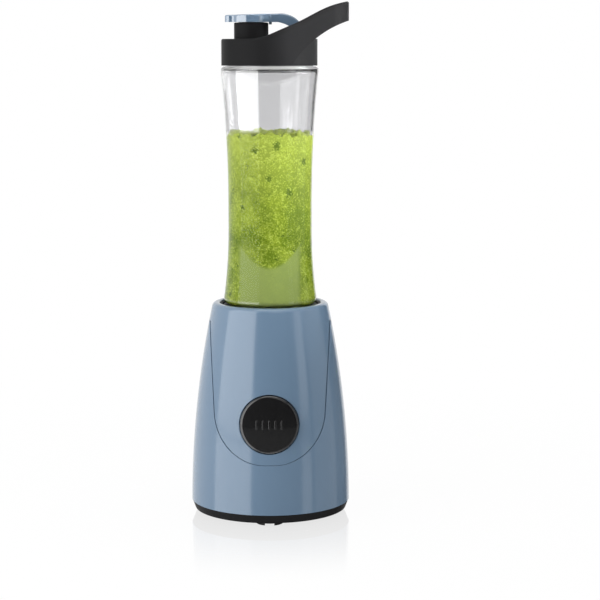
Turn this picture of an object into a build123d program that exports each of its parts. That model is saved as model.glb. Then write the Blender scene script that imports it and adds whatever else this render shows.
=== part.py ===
from build123d import *

import os
from math import asin, atan, cos, degrees, hypot, radians, sin, sqrt, tan

# Personal blender: a tapered motor base, a waisted clear bottle on a blade unit, and a drinking lid.
# Millimetres. The origin is on the table, on the base's axis. +Z is up, the push button faces -Y and the
# lid's carry loop points to +X.

# Clearances
layer_gap = 0.2  # between the two layers of the base's side wall
seam_gap = 0.3  # open line along the jacket's edge
running_gap = 0.04  # radial, a shaft in its bearing or a pin in its barrel
slide_gap = 0.4  # radial, pieces that slide or turn in one another
seat_gap = 0.1  # between flat faces of pieces that part in use
screw_gap = 0.1  # radial, a screw in its hole
near = 0.01  # places closer than this count as the same when edges are picked

# Bottom cover and feet
foot_count = 4
foot_height = 3.0
foot_radius = 10.0
foot_ring = 43.0  # radius of the circle that the feet stand on
foot_sink = 1.2  # depth of a foot in the cover
foot_groove = 7.0
foot_groove_depth = 1.6
cover_height = 6.4  # the dark band under the blue wall
cover_floor = 2.5
cover_taper = 2.4  # how far the band draws in towards the table
cover_lip = 5.0
cover_lip_wall = 1.6
vent_count = 16
vent_length = 15.0
vent_width = 3.2
vent_ring = 21.0

# Motor, from the bottom up
fan_clearance = 9.5
fan_gap = 1.0  # between the fan and the lower bearing
fan_height = 12.0
fan_radius = 26.0
fan_blades = 9
fan_wall = 1.0
fan_sweep = 20.0  # degrees that the fan's blades lean back
shaft_radius = 4.0
bearing_length = 10.0
bearing_radius = 7.0
bearing_hub_wall = 3.0
bracket_wall = 4.0
brush_size = 6.0
brush_length = 9.0
brush_lift = 8.0  # height of the brushes above the lower bracket
brush_tube_wall = 1.0
commutator_radius = 9.0
commutator_length = 12.0
commutator_slot = 0.5
lower_leg = 20.0
upper_leg = 10.0
leg_width = 6.0
leg_depth = 16.0
stack_height = 34.0  # laminated iron of stator and armature
stator_width = 56.0
stator_depth = 46.0
stator_corner = 9.0
armature_radius = 15.5
air_gap = 0.5
armature_slots = 12
armature_slot = 1.5
pole_half_width = 12.0
coil_width = 5.0
coil_thickness = 4.0
coil_end = 5.0
winding_round = 1.6
yoke_wall = 6.0
bolt_radius = 1.5
bolt_head = 2.6
bolt_head_height = 2.2

# Deck that carries the motor, and the socket that takes the jar
damper_height = 5.0
damper_radius = 6.0
deck_boss = 10.0
deck_wall = 3.0
deck_bore = 14.0
mount_pitch = 34.0  # square of the four motor mounting screws
mount_screw = 1.75
mount_head = 3.4
mount_head_height = 2.4
socket_floor = 3.0
socket_wall = 1.6
socket_boss = 9.0
socket_boss_radius = 4.0
socket_bore = 13.0
rib_count = 4
rib_depth = 1.8
rib_width = 6.0
rib_height = 20.0
well_depth = 33.5
well_gap = 0.7  # around the bottle's foot

# Housing of the base
base_radius = 60.0
wall_bulge = 3.9  # how far the side wall bows out from a straight cone
rim_width = 5.3
rim_depth = 5.3
rim_round = 3.6
rim_inner_round = 1.2
collar_height = 13.2  # from the seam up to the rim
jacket_wall = 2.0
shell_wall = 2.2
tongue_inset = 1.2  # how far the front panel stays inside the outline at the seam
tongue_lean = 6.1  # how far each side of the front panel leans in
tongue_z = 46.8  # lowest point of the front panel
tongue_corner = 37.0
edge_round = 0.4
panel_overlap = 1.5  # how far the front panel runs up into the collar
boss_radius = 4.5
boss_height = 20.0
boss_bite = 0.6  # how far the screw bosses reach into the wall
boss_floor = 2.3  # left at the end of a blind screw hole
screw_count = 4
screw_turn = 45.0  # degrees from the feet round to the screws and the socket's ribs
cover_screw = 1.3
cover_screw_head = 3.0
cover_screw_head_height = 2.0
cover_screw_sink = 3.0  # depth of the screw heads' recesses
gland_lift = 0.6  # between the gland and the cover's lip
gland_radius = 5.3
gland_flange = 7.4
gland_flange_wall = 1.6
gland_bore = 3.6

# Push button and switch, measured along the button's axis from the front panel's surface
button_z = 76.7
button_radius = 21.6
button_crown = 2.0  # height of the face's middle above the panel
button_dome = 1.6  # how far the face falls from its middle to its edge
button_round = 2.2
button_wall = 2.0
button_stroke = 3.0
button_stem = 3.0
sleeve_depth = 12.0
sleeve_wall = 2.2
hook_height = 2.0
hook_reach = 1.4
hook_gap = 0.3
hook_slot = 20.0  # width of the gaps between the hooks
hook_count = 3
hook_turn = 30.0
plate_wall = 2.0
plate_height = 22.0
post_x = 30.0
post_radius = 3.4
switch_size = 12.0
switch_height = 9.0
plunger_radius = 2.2
plunger_depth = 3.0  # length of plunger inside the switch at rest
spring_radius = 10.0
spring_wire = 0.5
spring_turns = 5

# Drive couplings
star_core = 6.5
star_reach = 10.0
star_tooth = 4.4
star_count = 6
star_foot = 2.0  # how far the star reaches down into the socket's bore
star_height = 13.0
driven_wall = 3.6
driven_lift = 1.8  # clearance under the driven coupling
driven_web = 3.0
driven_gap = 0.7

# Blade unit
carrier_floor = 3.2
carrier_skirt_wall = 4.3
hub_radius = 10.0
hub_height = 8.0
hub_taper = 8.0  # degrees
blade_shaft_radius = 3.0
bush_wall = 3.2
shaft_seal_height = 1.4
shaft_seal_width = 2.6
blade_wall = 1.4
blade_width = 13.0
blade_cut = 7.8  # how far a blade's ends are cut back
blade_gap = 3.2  # between the blade tips and the bottle's neck
upper_blade_flat = 7.5
upper_blade_angle = 45.0
upper_blade_radius = 19.0
lower_blade_flat = 12.0
lower_blade_angle = 16.0
nut_radius = 5.0
nut_height = 5.5

# Bottle
neck_seal_height = 1.6
neck_length = 12.1
neck_radius = 30.0
neck_wall = 2.6
bottle_foot_radius = 35.5
bottle_foot_round = 4.0
lower_flare = 56.8  # height of the flare above the bottle's foot
waist_radius = 31.3
waist_length = 20.0
upper_flare = 100.9
mouth_radius = 36.9
mouth_round = 3.0
bottle_wall = 2.2
mouth_neck_radius = 32.4
mouth_neck_wall = 2.6
mouth_neck_length = 15.5

# Lid
lid_gap = 0.6  # between the lid's edge and the bottle's shoulder
thread_gap = 0.6
lid_wall = 3.0
lid_top_wall = 3.0
lid_round = 1.3
lid_seal_height = 1.6
spout_x = -13.7
spout_radius = 12.75
spout_wall = 2.75
spout_height = 12.0
spout_round = 0.8
loop_reach = 58.8  # distance of the loop's tip from the axis
loop_end_radius = 20.0
loop_wall = 4.2
loop_tip_height = 14.0
loop_tip_rise = 28.4  # from the lid's top to the loop's top at the tip
loop_start_x = -15.0
loop_tip_slope = 0.2
loop_step = 0.5  # how far the loop's arms stand out of the lid where they leave it
loop_root_x = 8.0  # three points of the loop's upper edge, on its way to the tip
loop_root_rise = 6.5
loop_top_x = 22.5
loop_top_rise = 12.9
loop_neck_x = 38.0
loop_neck_rise = 21.0
loop_low_x = 16.2
loop_belly_x = 36.5
loop_belly_rise = 2.0

# Flip cap
cap_gap = 0.3
cap_tab_x = -33.1
cap_edge = 5.2  # thickness at the thumb tab
cap_crown = 6.3  # thickness at the strap's bend
cap_disc_radius = 15.6
cap_tab_width = 17.0
cap_bend_x = 6.0
cap_round = 1.2
cap_top_share = 0.6  # edges above this share of the cap's thickness are rounded
cap_tab_round = 4.0
cap_waist_round = 3.0  # where the tab and the strap join the disc
strap_width = 13.6
strap_out_x = 0.62  # bend of the strap's upper side, as shares of the way from the cap to the barrel
strap_out_z = 0.24
strap_in_x = 0.6  # bend of its lower side
strap_in_z = 0.6
strap_wall = 6.4
hinge_x = 21.5
hinge_rise = 8.2  # pin above the lid's top
pin_radius = 1.5
barrel_radius = 3.4
ear_gap = 0.4
ear_wall = 3.2
plug_radius = 9.4
plug_taper = 0.8
plug_depth = 4.0
nib_height = 1.7
nib_length = 2.2
nib_width = 8.0

# Heights of the base, stacked from the table
cover_z = foot_height + cover_height
cover_floor_z = foot_height + cover_floor
fan_z = cover_floor_z + fan_clearance
low_bearing_z = fan_z + fan_height + fan_gap
low_plate_z = low_bearing_z + bearing_length - bracket_wall
low_plate_top = low_plate_z + bracket_wall
stack_z = low_plate_top + lower_leg
stack_top = stack_z + stack_height
high_plate_z = stack_top + upper_leg
high_plate_top = high_plate_z + bracket_wall
deck_boss_z = high_plate_top + damper_height
deck_bottom = deck_boss_z + deck_boss
deck_z = deck_bottom + deck_wall
well_floor_z = deck_z + socket_floor
rim_z = well_floor_z + well_depth
seam_z = rim_z - collar_height
socket_top = rim_z - rim_inner_round

# Heights of the jar, stacked from the socket's floor
carrier_z = well_floor_z + seat_gap
driven_z = carrier_z + driven_lift
star_z = well_floor_z - star_foot
star_top = star_z + star_height
driven_web_z = star_top + seat_gap + slide_gap
driven_top = driven_web_z + driven_web
carrier_floor_z = driven_top + driven_gap
carrier_cup_z = carrier_floor_z + carrier_floor
hub_top = carrier_cup_z + hub_height
neck_z = carrier_cup_z + neck_seal_height + seat_gap
bottle_z = neck_z + neck_length
carrier_top = bottle_z - lid_gap
waist_low = bottle_z + lower_flare
waist_high = waist_low + waist_length
bottle_top = waist_high + upper_flare
mouth_neck_top = bottle_top + mouth_neck_length
lid_z = bottle_top + lid_gap
lid_ceiling = mouth_neck_top + seat_gap + lid_seal_height
lid_top = lid_ceiling + lid_top_wall
spout_top = lid_top + spout_height

# Radii that follow from the fits
wall_total = jacket_wall + layer_gap + shell_wall
well_radius = bottle_foot_radius + well_gap
rim_bore = well_radius + socket_wall + layer_gap
rim_radius = rim_bore + rim_width
carrier_radius = bottle_foot_radius - layer_gap
neck_bore = neck_radius - neck_wall
mouth_bore = mouth_neck_radius - mouth_neck_wall
lid_bore = mouth_neck_radius + thread_gap
lid_radius = lid_bore + lid_wall
hub_outer = bearing_radius + bearing_hub_wall
bush_radius = blade_shaft_radius + bush_wall
stator_bore = armature_radius + air_gap
side_x = stator_width / 2 - leg_width / 2
brush_z = low_plate_top + brush_lift
brush_tube = brush_size / 2 + slide_gap + brush_tube_wall

# The side wall is one arc from the cover's edge to the rim
wall_chord = sqrt((base_radius - rim_radius) ** 2 + (rim_z - cover_z) ** 2)
wall_arc = (wall_chord**2 / 4 + wall_bulge**2) / (2 * wall_bulge)
wall_back = (wall_arc - wall_bulge) / wall_chord  # from the chord's middle to the arc's centre, in chords
wall_centre_x = (base_radius + rim_radius) / 2 - wall_back * (rim_z - cover_z)
wall_centre_z = (cover_z + rim_z) / 2 - wall_back * (base_radius - rim_radius)


def wall_radius(z, depth=0.0):
    """Radius of the base's side wall at a height, or of a layer that lies a depth inside it."""
    return wall_centre_x + sqrt((wall_arc - depth) ** 2 - (z - wall_centre_z) ** 2)


def wall_band(bottom_z, top_z, outer_depth, inner_depth):
    """Profile of one layer of the side wall, between two depths below its surface."""
    heights = (bottom_z, (bottom_z + top_z) / 2, top_z)
    with BuildSketch(Plane.XZ) as band:
        with BuildLine():
            outer = ThreePointArc(*[(wall_radius(z, outer_depth), z) for z in heights])
            inner = ThreePointArc(*[(wall_radius(z, inner_depth), z) for z in heights])
            Line(outer @ 0, inner @ 0)
            Line(outer @ 1, inner @ 1)
        make_face()
    return band.sketch


def wall_core(depth):
    """Profile of everything inside the side wall, from the axis out to a depth below its surface."""
    heights = (cover_z, (cover_z + rim_z) / 2, rim_z)
    with BuildSketch(Plane.XZ) as core:
        with BuildLine():
            outer = ThreePointArc(*[(wall_radius(z, depth), z) for z in heights])
            Polyline(outer @ 0, (0, cover_z), (0, rim_z), outer @ 1)
        make_face()
    return core.sketch


def tongue_outline(grow):
    """Front view of the front panel: a tall shield with two large round corners at its foot."""
    top_half = wall_radius(seam_z) - tongue_inset + grow
    low_half = top_half - tongue_lean
    top_z = seam_z + panel_overlap
    with BuildSketch(Plane.XZ) as outline:
        with BuildLine():
            Polyline(
                (-top_half, top_z),
                (-low_half, tongue_z - grow),
                (low_half, tongue_z - grow),
                (top_half, top_z),
                close=True,
            )
        make_face()
        fillet(outline.vertices().group_by(Axis.Y)[0], tongue_corner)
    return outline.sketch


def star_outline(grow):
    """Plan of the drive coupling's star, or of the socket that it fits when it is grown by a gap."""
    with BuildSketch() as star:
        Circle(star_core + grow)
        with PolarLocations(0, star_count):
            with Locations((star_reach / 2 + grow / 2, 0)):
                Rectangle(star_reach + grow, star_tooth + 2 * grow)
    return star.sketch


def on_wall(edge):
    """True for an edge that lies on the side wall's outer surface, off the plane where the wall closes."""
    points = (edge @ 0, edge @ 0.5, edge @ 1)
    return abs(edge.center().Y) > near and all(
        abs(hypot(point.X, point.Y) - wall_radius(point.Z)) < near for point in points
    )


def ring_edges(part, z, radius):
    """Round edges of a part at one height and radius about the vertical axis."""
    return part.edges().filter_by(GeomType.CIRCLE).filter_by(
        lambda edge: abs(edge.arc_center.Z - z) < near and abs(edge.radius - radius) < near
    )


# Planes and axes of the button, square to the front panel
button_tilt = asin((button_z - wall_centre_z) / wall_arc)
button_origin = (0, -wall_radius(button_z), button_z)
button_out = (0, -cos(button_tilt), sin(button_tilt))
button_plane = Plane(origin=button_origin, x_dir=(1, 0, 0), z_dir=button_out)
button_down = (0, -sin(button_tilt), -cos(button_tilt))
button_section = Plane(origin=button_origin, x_dir=(1, 0, 0), z_dir=button_down)
button_axis = Axis(button_origin, button_out)
button_hole = button_radius + slide_gap
sleeve_radius = button_hole + sleeve_wall
button_inside = button_crown - button_dome - button_wall
hook_top = -sleeve_depth - hook_gap
plate_front = hook_top - hook_height - button_stroke - slide_gap
switch_top = plate_front + switch_height
stem_tip = switch_top + button_stroke + slide_gap

# Layout of fasteners and feet
gland_z = cover_z + cover_lip + gland_flange + gland_lift
boss_ring = wall_radius(cover_z + boss_height, wall_total) - boss_radius + boss_bite
hinge_z = lid_top + hinge_rise
cap_under = spout_top + cap_gap

# Bottom cover: a dish with a tapering edge, a locating lip, screw pillars, foot recesses and air vents
lip_radius = wall_radius(cover_z + cover_lip, wall_total) - slide_gap
with BuildPart() as bottom_cover:
    with BuildSketch(Plane.XZ):
        with BuildLine():
            Polyline(
                (0, foot_height),
                (base_radius - layer_gap - cover_taper, foot_height),
                (base_radius - layer_gap, cover_z),
                (lip_radius, cover_z),
                (lip_radius, cover_z + cover_lip),
                (lip_radius - cover_lip_wall, cover_z + cover_lip),
                (lip_radius - cover_lip_wall, cover_floor_z),
                (0, cover_floor_z),
                close=True,
            )
        make_face()
    revolve(axis=Axis.Z)
    with BuildSketch(Plane.XY.offset(cover_z)):
        with PolarLocations(boss_ring, screw_count, screw_turn):
            Circle(boss_radius + slide_gap)
    extrude(amount=cover_lip, mode=Mode.SUBTRACT)
    with BuildSketch(Plane.XY.offset(foot_height)):
        with PolarLocations(boss_ring, screw_count, screw_turn):
            Circle(boss_radius)
    extrude(amount=cover_height)
    with BuildSketch(Plane.XY.offset(foot_height)):
        with PolarLocations(boss_ring, screw_count, screw_turn):
            Circle(cover_screw + screw_gap)
        with PolarLocations(vent_ring, vent_count):
            SlotOverall(vent_length, vent_width)
    extrude(amount=cover_height, mode=Mode.SUBTRACT)
    with BuildSketch(Plane.XY.offset(foot_height)):
        with PolarLocations(boss_ring, screw_count, screw_turn):
            Circle(cover_screw_head + slide_gap)
    extrude(amount=cover_screw_sink, mode=Mode.SUBTRACT)
    with BuildSketch(Plane.XY.offset(foot_height)):
        with PolarLocations(foot_ring, foot_count):
            Circle(foot_radius + layer_gap)
    extrude(amount=foot_sink, mode=Mode.SUBTRACT)
    fillet(ring_edges(bottom_cover, foot_height, base_radius - layer_gap - cover_taper), edge_round)

# Rubber feet, each with a groove that points to the axis
with BuildPart() as rubber_feet:
    with BuildSketch():
        with PolarLocations(foot_ring, foot_count):
            Circle(foot_radius)
    extrude(amount=foot_height + foot_sink)
    fillet(rubber_feet.edges().filter_by(GeomType.CIRCLE).group_by(Axis.Z)[0], edge_round)
    with BuildSketch():
        with PolarLocations(foot_ring, foot_count):
            Rectangle(3 * foot_radius, foot_groove)
    extrude(amount=foot_groove_depth, mode=Mode.SUBTRACT)

with BuildPart() as cover_screws:
    head_z = foot_height + cover_screw_sink - cover_screw_head_height
    with BuildSketch(Plane.XY.offset(head_z)):
        with PolarLocations(boss_ring, screw_count, screw_turn):
            Circle(cover_screw_head)
    extrude(amount=cover_screw_head_height)
    with BuildSketch(Plane.XY.offset(head_z)):
        with PolarLocations(boss_ring, screw_count, screw_turn):
            Circle(cover_screw)
    extrude(amount=cover_z + boss_height / 2 - head_z)

# Everything below the collar's edge, apart from the front panel's shield
with BuildPart() as jacket_zone:
    with BuildSketch():
        Circle(2 * base_radius)
    extrude(amount=seam_z)
    extrude(tongue_outline(0), amount=2 * base_radius, mode=Mode.SUBTRACT)

# Front shield: the collar around the top and the panel that runs down from it at the front, as one skin
with BuildPart() as front_shield:
    revolve(wall_band(cover_z, rim_z, 0, jacket_wall), axis=Axis.Z)
    add(jacket_zone.part, mode=Mode.SUBTRACT)
    with BuildSketch(Plane.XY.offset(rim_z - rim_depth)):
        Circle(wall_radius(rim_z, jacket_wall / 2))
        Circle(rim_bore, mode=Mode.SUBTRACT)
    extrude(amount=rim_depth)
    with BuildSketch(button_plane.offset(-2 * sleeve_depth)):
        Circle(button_hole)
    extrude(amount=3 * sleeve_depth, mode=Mode.SUBTRACT)
    fillet(ring_edges(front_shield, rim_z, rim_radius), rim_round)
    fillet(ring_edges(front_shield, rim_z, rim_bore), rim_inner_round)
    fillet(front_shield.edges().filter_by(on_wall).filter_by(lambda edge: edge.is_closed), edge_round)

# Guide sleeve of the button and posts of the switch plate, trimmed to the inside of the wall
with BuildPart() as button_guide:
    with BuildSketch(button_plane.offset(-sleeve_depth)):
        Circle(sleeve_radius)
    extrude(amount=sleeve_depth)
    with BuildSketch(button_plane.offset(plate_front)):
        with Locations((-post_x, 0), (post_x, 0)):
            Circle(post_radius)
    extrude(amount=-plate_front)
    revolve(wall_core(jacket_wall + layer_gap), axis=Axis.Z, mode=Mode.INTERSECT)

# Inner shell: the stiff wall behind both skins, with the deck that the motor hangs from
with BuildPart() as inner_shell:
    shell_top = rim_z - rim_depth - layer_gap
    revolve(wall_band(cover_z, shell_top, jacket_wall + layer_gap, wall_total), axis=Axis.Z)
    with BuildSketch(Plane.XY.offset(deck_bottom)):
        Circle(wall_radius(deck_bottom, wall_total - shell_wall / 2))
        Circle(deck_bore, mode=Mode.SUBTRACT)
    extrude(amount=deck_wall)
    with BuildSketch(Plane.XY.offset(deck_boss_z)):
        with GridLocations(mount_pitch, mount_pitch, 2, 2):
            Circle(damper_radius)
    extrude(amount=deck_boss)
    with BuildSketch(Plane.XY.offset(deck_boss_z)):
        with GridLocations(mount_pitch, mount_pitch, 2, 2):
            Circle(mount_screw + screw_gap)
    extrude(amount=deck_boss + deck_wall, mode=Mode.SUBTRACT)
    with BuildSketch(Plane.XY.offset(cover_z)):
        with PolarLocations(boss_ring, screw_count, screw_turn):
            Circle(boss_radius)
    extrude(amount=boss_height)
    with BuildSketch(Plane.XY.offset(cover_z)):
        with PolarLocations(boss_ring, screw_count, screw_turn):
            Circle(cover_screw + screw_gap)
    extrude(amount=boss_height - boss_floor, mode=Mode.SUBTRACT)
    add(button_guide.part)
    with BuildSketch(button_plane.offset(-2 * sleeve_depth)):
        Circle(button_hole)
    extrude(amount=3 * sleeve_depth, mode=Mode.SUBTRACT)
    with BuildSketch(Plane.XZ.offset(-2 * base_radius)):
        with Locations((0, gland_z)):
            Circle(gland_radius + screw_gap)
    extrude(amount=2 * base_radius, mode=Mode.SUBTRACT)

# Outer jacket: the blue skin around the sides and back, with a shield-shaped opening at the front
with BuildPart() as outer_jacket:
    revolve(wall_band(cover_z, seam_z - seam_gap, 0, jacket_wall), axis=Axis.Z)
    extrude(tongue_outline(seam_gap), amount=2 * base_radius, mode=Mode.SUBTRACT)
    with BuildSketch(Plane.XZ.offset(-2 * base_radius)):
        with Locations((0, gland_z)):
            Circle(gland_flange + slide_gap)
    extrude(amount=2 * base_radius, mode=Mode.SUBTRACT)
    fillet(outer_jacket.edges().filter_by(on_wall), edge_round)

# Cord gland: a rubber bush with a flange on each side of the housing's rear wall
gland_out_y = wall_radius(gland_z - gland_flange, jacket_wall + layer_gap) + seat_gap
gland_in_radius = wall_radius(gland_z + gland_flange, wall_total)
gland_in_y = gland_in_radius * cos(asin(gland_flange / base_radius)) - seat_gap
with BuildPart() as cord_gland:
    with BuildSketch(Plane.XZ.offset(-gland_out_y - gland_flange_wall)):
        with Locations((0, gland_z)):
            Circle(gland_flange)
    extrude(amount=gland_flange_wall)
    with BuildSketch(Plane.XZ.offset(-gland_out_y)):
        with Locations((0, gland_z)):
            Circle(gland_radius)
    extrude(amount=gland_out_y - gland_in_y)
    with BuildSketch(Plane.XZ.offset(-gland_in_y)):
        with Locations((0, gland_z)):
            Circle(gland_flange)
    extrude(amount=gland_flange_wall)
    with BuildSketch(Plane.XZ.offset(-2 * base_radius)):
        with Locations((0, gland_z)):
            Circle(gland_bore)
    extrude(amount=2 * base_radius, mode=Mode.SUBTRACT)

# Jar socket: the dark well with four ribs that keep the jar from turning
with BuildPart() as jar_socket:
    with BuildSketch(Plane.XY.offset(deck_z)):
        Circle(well_radius + socket_wall)
    extrude(amount=socket_top - deck_z)
    with BuildSketch(Plane.XY.offset(well_floor_z)):
        Circle(well_radius)
    extrude(amount=well_depth, mode=Mode.SUBTRACT)
    with BuildSketch(Plane.XY.offset(well_floor_z)):
        with PolarLocations(well_radius, rib_count, screw_turn):
            Rectangle(2 * rib_depth, rib_width)
        Circle(well_radius + socket_wall / 2, mode=Mode.INTERSECT)
    extrude(amount=rib_height)
    with BuildSketch(Plane.XY.offset(deck_z)):
        with GridLocations(mount_pitch, mount_pitch, 2, 2):
            Circle(socket_boss_radius)
    extrude(amount=socket_floor + socket_boss)
    with BuildSketch(Plane.XY.offset(deck_z)):
        Circle(socket_bore)
        with GridLocations(mount_pitch, mount_pitch, 2, 2):
            Circle(mount_screw + screw_gap)
    extrude(amount=socket_floor + socket_boss - boss_floor, mode=Mode.SUBTRACT)

# Push button: a domed cap with a stem and three hooks that catch behind the guide sleeve
with BuildPart() as push_button:
    with BuildSketch(button_section):
        with BuildLine():
            edge_s = button_crown - button_dome
            dome_arc = (button_radius**2 + button_dome**2) / (2 * button_dome)
            RadiusArc((0, button_crown), (button_radius, edge_s), dome_arc)
            Polyline(
                (button_radius, edge_s),
                (button_radius, hook_top),
                (button_radius + hook_reach, hook_top),
                (button_radius, hook_top - hook_height),
                (button_radius - button_wall, hook_top - hook_height),
                (button_radius - button_wall, button_inside),
                (button_stem, button_inside),
                (button_stem, stem_tip),
                (0, stem_tip),
                (0, button_crown),
            )
        make_face()
    revolve(axis=button_axis)
    fillet(
        push_button.edges().filter_by(GeomType.CIRCLE).sort_by(button_axis).filter_by(
            lambda edge: abs(edge.radius - button_radius) < near
        )[-1],
        button_round,
    )
    with BuildSketch(button_plane.offset(hook_top - hook_height)):
        with PolarLocations(button_radius, hook_count, hook_turn):
            Rectangle(4 * button_wall, hook_slot)
    extrude(amount=hook_height + hook_gap, mode=Mode.SUBTRACT)

# Return spring between the button and the switch plate
spring_length = button_inside - plate_front - 2 * spring_wire - 2 * seat_gap
spring_start = plate_front + spring_wire + seat_gap
with BuildPart() as button_spring:
    with BuildLine() as coil:
        spring_foot = button_plane.offset(spring_start).origin
        Helix(spring_length / spring_turns, spring_length, spring_radius, spring_foot, button_out)
    with BuildSketch(Plane(origin=coil.line @ 0, z_dir=coil.line % 0)):
        Circle(spring_wire)
    sweep(path=coil.line)

# Switch plate across the two posts, and the switch that it carries
with BuildPart() as switch_plate:
    with BuildSketch(button_plane.offset(plate_front - plate_wall)):
        RectangleRounded(2 * (post_x + post_radius), plate_height, post_radius)
        with Locations((-post_x, 0), (post_x, 0)):
            Circle(cover_screw + screw_gap, mode=Mode.SUBTRACT)
    extrude(amount=plate_wall)

with BuildPart() as switch_body:
    with BuildSketch(button_plane.offset(plate_front)):
        RectangleRounded(switch_size, switch_size, edge_round)
    extrude(amount=switch_height)
    with BuildSketch(button_plane.offset(switch_top)):
        Circle(plunger_radius + running_gap)
    extrude(amount=-plunger_depth - button_stroke - slide_gap, mode=Mode.SUBTRACT)

with BuildPart() as switch_plunger:
    with BuildSketch(button_plane.offset(switch_top - plunger_depth)):
        Circle(plunger_radius)
    extrude(amount=stem_tip - seat_gap - switch_top + plunger_depth)

# Stator: a laminated yoke with two poles, and a coil around each pole
slot_y = stator_depth / 2 - yoke_wall
window_x = pole_half_width + slide_gap + coil_width + slide_gap
coil_y = slot_y - slide_gap - coil_thickness / 2
with BuildPart() as stator_core:
    with BuildSketch(Plane.XY.offset(stack_z)):
        RectangleRounded(stator_width, stator_depth, stator_corner)
        Circle(stator_bore, mode=Mode.SUBTRACT)
        for side in (-1, 1):
            with Locations((side * (pole_half_width + window_x) / 2, 0)):
                Rectangle(window_x - pole_half_width, 2 * slot_y, mode=Mode.SUBTRACT)
        with Locations((-side_x, 0), (side_x, 0)):
            Circle(bolt_radius + screw_gap, mode=Mode.SUBTRACT)
    extrude(amount=stack_height)

with BuildPart() as field_coils:
    for side in (-1, 1):
        with BuildSketch(Plane.XZ.offset(side * coil_y)):
            with Locations((0, stack_z + stack_height / 2)):
                RectangleRounded(
                    2 * (pole_half_width + slide_gap + coil_width),
                    stack_height + 2 * (slide_gap + coil_end),
                    coil_end,
                )
                Rectangle(
                    2 * (pole_half_width + slide_gap), stack_height + 2 * slide_gap, mode=Mode.SUBTRACT
                )
        extrude(amount=coil_thickness / 2, both=True)

# Brackets: each a plate with two legs on the stator's sides and a hub for a bearing
with BuildPart() as upper_bracket:
    with BuildSketch(Plane.XY.offset(high_plate_z)):
        RectangleRounded(mount_pitch + 2 * damper_radius, mount_pitch + 2 * damper_radius, damper_radius)
        Rectangle(stator_width, leg_depth)
    extrude(amount=bracket_wall)
    with BuildSketch(Plane.XY.offset(high_plate_z)):
        Circle(hub_outer)
    extrude(amount=bearing_length)
    with BuildSketch(Plane.XY.offset(stack_top)):
        with Locations((-side_x, 0), (side_x, 0)):
            Rectangle(leg_width, leg_depth)
    extrude(amount=upper_leg)
    with BuildSketch(Plane.XY.offset(stack_top)):
        Circle(bearing_radius)
        with Locations((-side_x, 0), (side_x, 0)):
            Circle(bolt_radius + screw_gap)
        with GridLocations(mount_pitch, mount_pitch, 2, 2):
            Circle(mount_screw + screw_gap)
    extrude(amount=upper_leg + bearing_length, mode=Mode.SUBTRACT)

with BuildPart() as lower_bracket:
    with BuildSketch(Plane.XY.offset(low_plate_z)):
        RectangleRounded(stator_width, leg_depth + 2 * leg_width, leg_width)
    extrude(amount=bracket_wall)
    with BuildSketch(Plane.XY.offset(low_bearing_z)):
        Circle(hub_outer)
    extrude(amount=bearing_length)
    with BuildSketch(Plane.XY.offset(low_plate_top)):
        with Locations((-side_x, 0), (side_x, 0)):
            Rectangle(leg_width, leg_depth)
    extrude(amount=lower_leg)
    with BuildSketch(Plane.XY.offset(low_bearing_z)):
        Circle(bearing_radius)
        with Locations((-side_x, 0), (side_x, 0)):
            Circle(bolt_radius + screw_gap)
    extrude(amount=bearing_length + lower_leg, mode=Mode.SUBTRACT)

with BuildPart() as upper_bearing:
    with BuildSketch(Plane.XY.offset(high_plate_z)):
        Circle(bearing_radius)
        Circle(shaft_radius + running_gap, mode=Mode.SUBTRACT)
    extrude(amount=bearing_length)

with BuildPart() as lower_bearing:
    with BuildSketch(Plane.XY.offset(low_bearing_z)):
        Circle(bearing_radius)
        Circle(shaft_radius + running_gap, mode=Mode.SUBTRACT)
    extrude(amount=bearing_length)

with BuildPart() as stator_bolts:
    with BuildSketch(Plane.XY.offset(low_plate_z)):
        with Locations((-side_x, 0), (side_x, 0)):
            Circle(bolt_radius)
    extrude(amount=high_plate_top - low_plate_z)
    with BuildSketch(Plane.XY.offset(low_plate_z)):
        with Locations((-side_x, 0), (side_x, 0)):
            Circle(bolt_head)
    extrude(amount=-bolt_head_height)

# Motor mounting: rubber dampers under the deck's bosses, with screws up into the socket
with BuildPart() as motor_dampers:
    with BuildSketch(Plane.XY.offset(high_plate_top)):
        with GridLocations(mount_pitch, mount_pitch, 2, 2):
            Circle(damper_radius)
            Circle(mount_screw + screw_gap, mode=Mode.SUBTRACT)
    extrude(amount=damper_height)

with BuildPart() as motor_screws:
    with BuildSketch(Plane.XY.offset(high_plate_z)):
        with GridLocations(mount_pitch, mount_pitch, 2, 2):
            Circle(mount_screw)
    extrude(amount=deck_z + socket_floor + socket_boss / 2 - high_plate_z)
    with BuildSketch(Plane.XY.offset(high_plate_z)):
        with GridLocations(mount_pitch, mount_pitch, 2, 2):
            Circle(mount_head)
    extrude(amount=-mount_head_height)

# Brushes and their holders, on both sides of the commutator
brush_start = commutator_radius + seat_gap
with BuildPart() as carbon_brushes:
    for side in (-1, 1):
        with BuildSketch(Plane.YZ.offset(side * brush_start)):
            with Locations((0, brush_z)):
                Rectangle(brush_size, brush_size)
        extrude(amount=side * brush_length)

with BuildPart() as brush_holders:
    for side in (-1, 1):
        with BuildSketch(Plane.YZ.offset(side * (brush_start + brush_tube_wall))):
            with Locations((0, (low_plate_top + brush_z + brush_tube) / 2)):
                Rectangle(2 * brush_tube, brush_z + brush_tube - low_plate_top)
            with Locations((0, brush_z)):
                Rectangle(brush_size + 2 * slide_gap, brush_size + 2 * slide_gap, mode=Mode.SUBTRACT)
        extrude(amount=side * brush_length)

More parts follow.
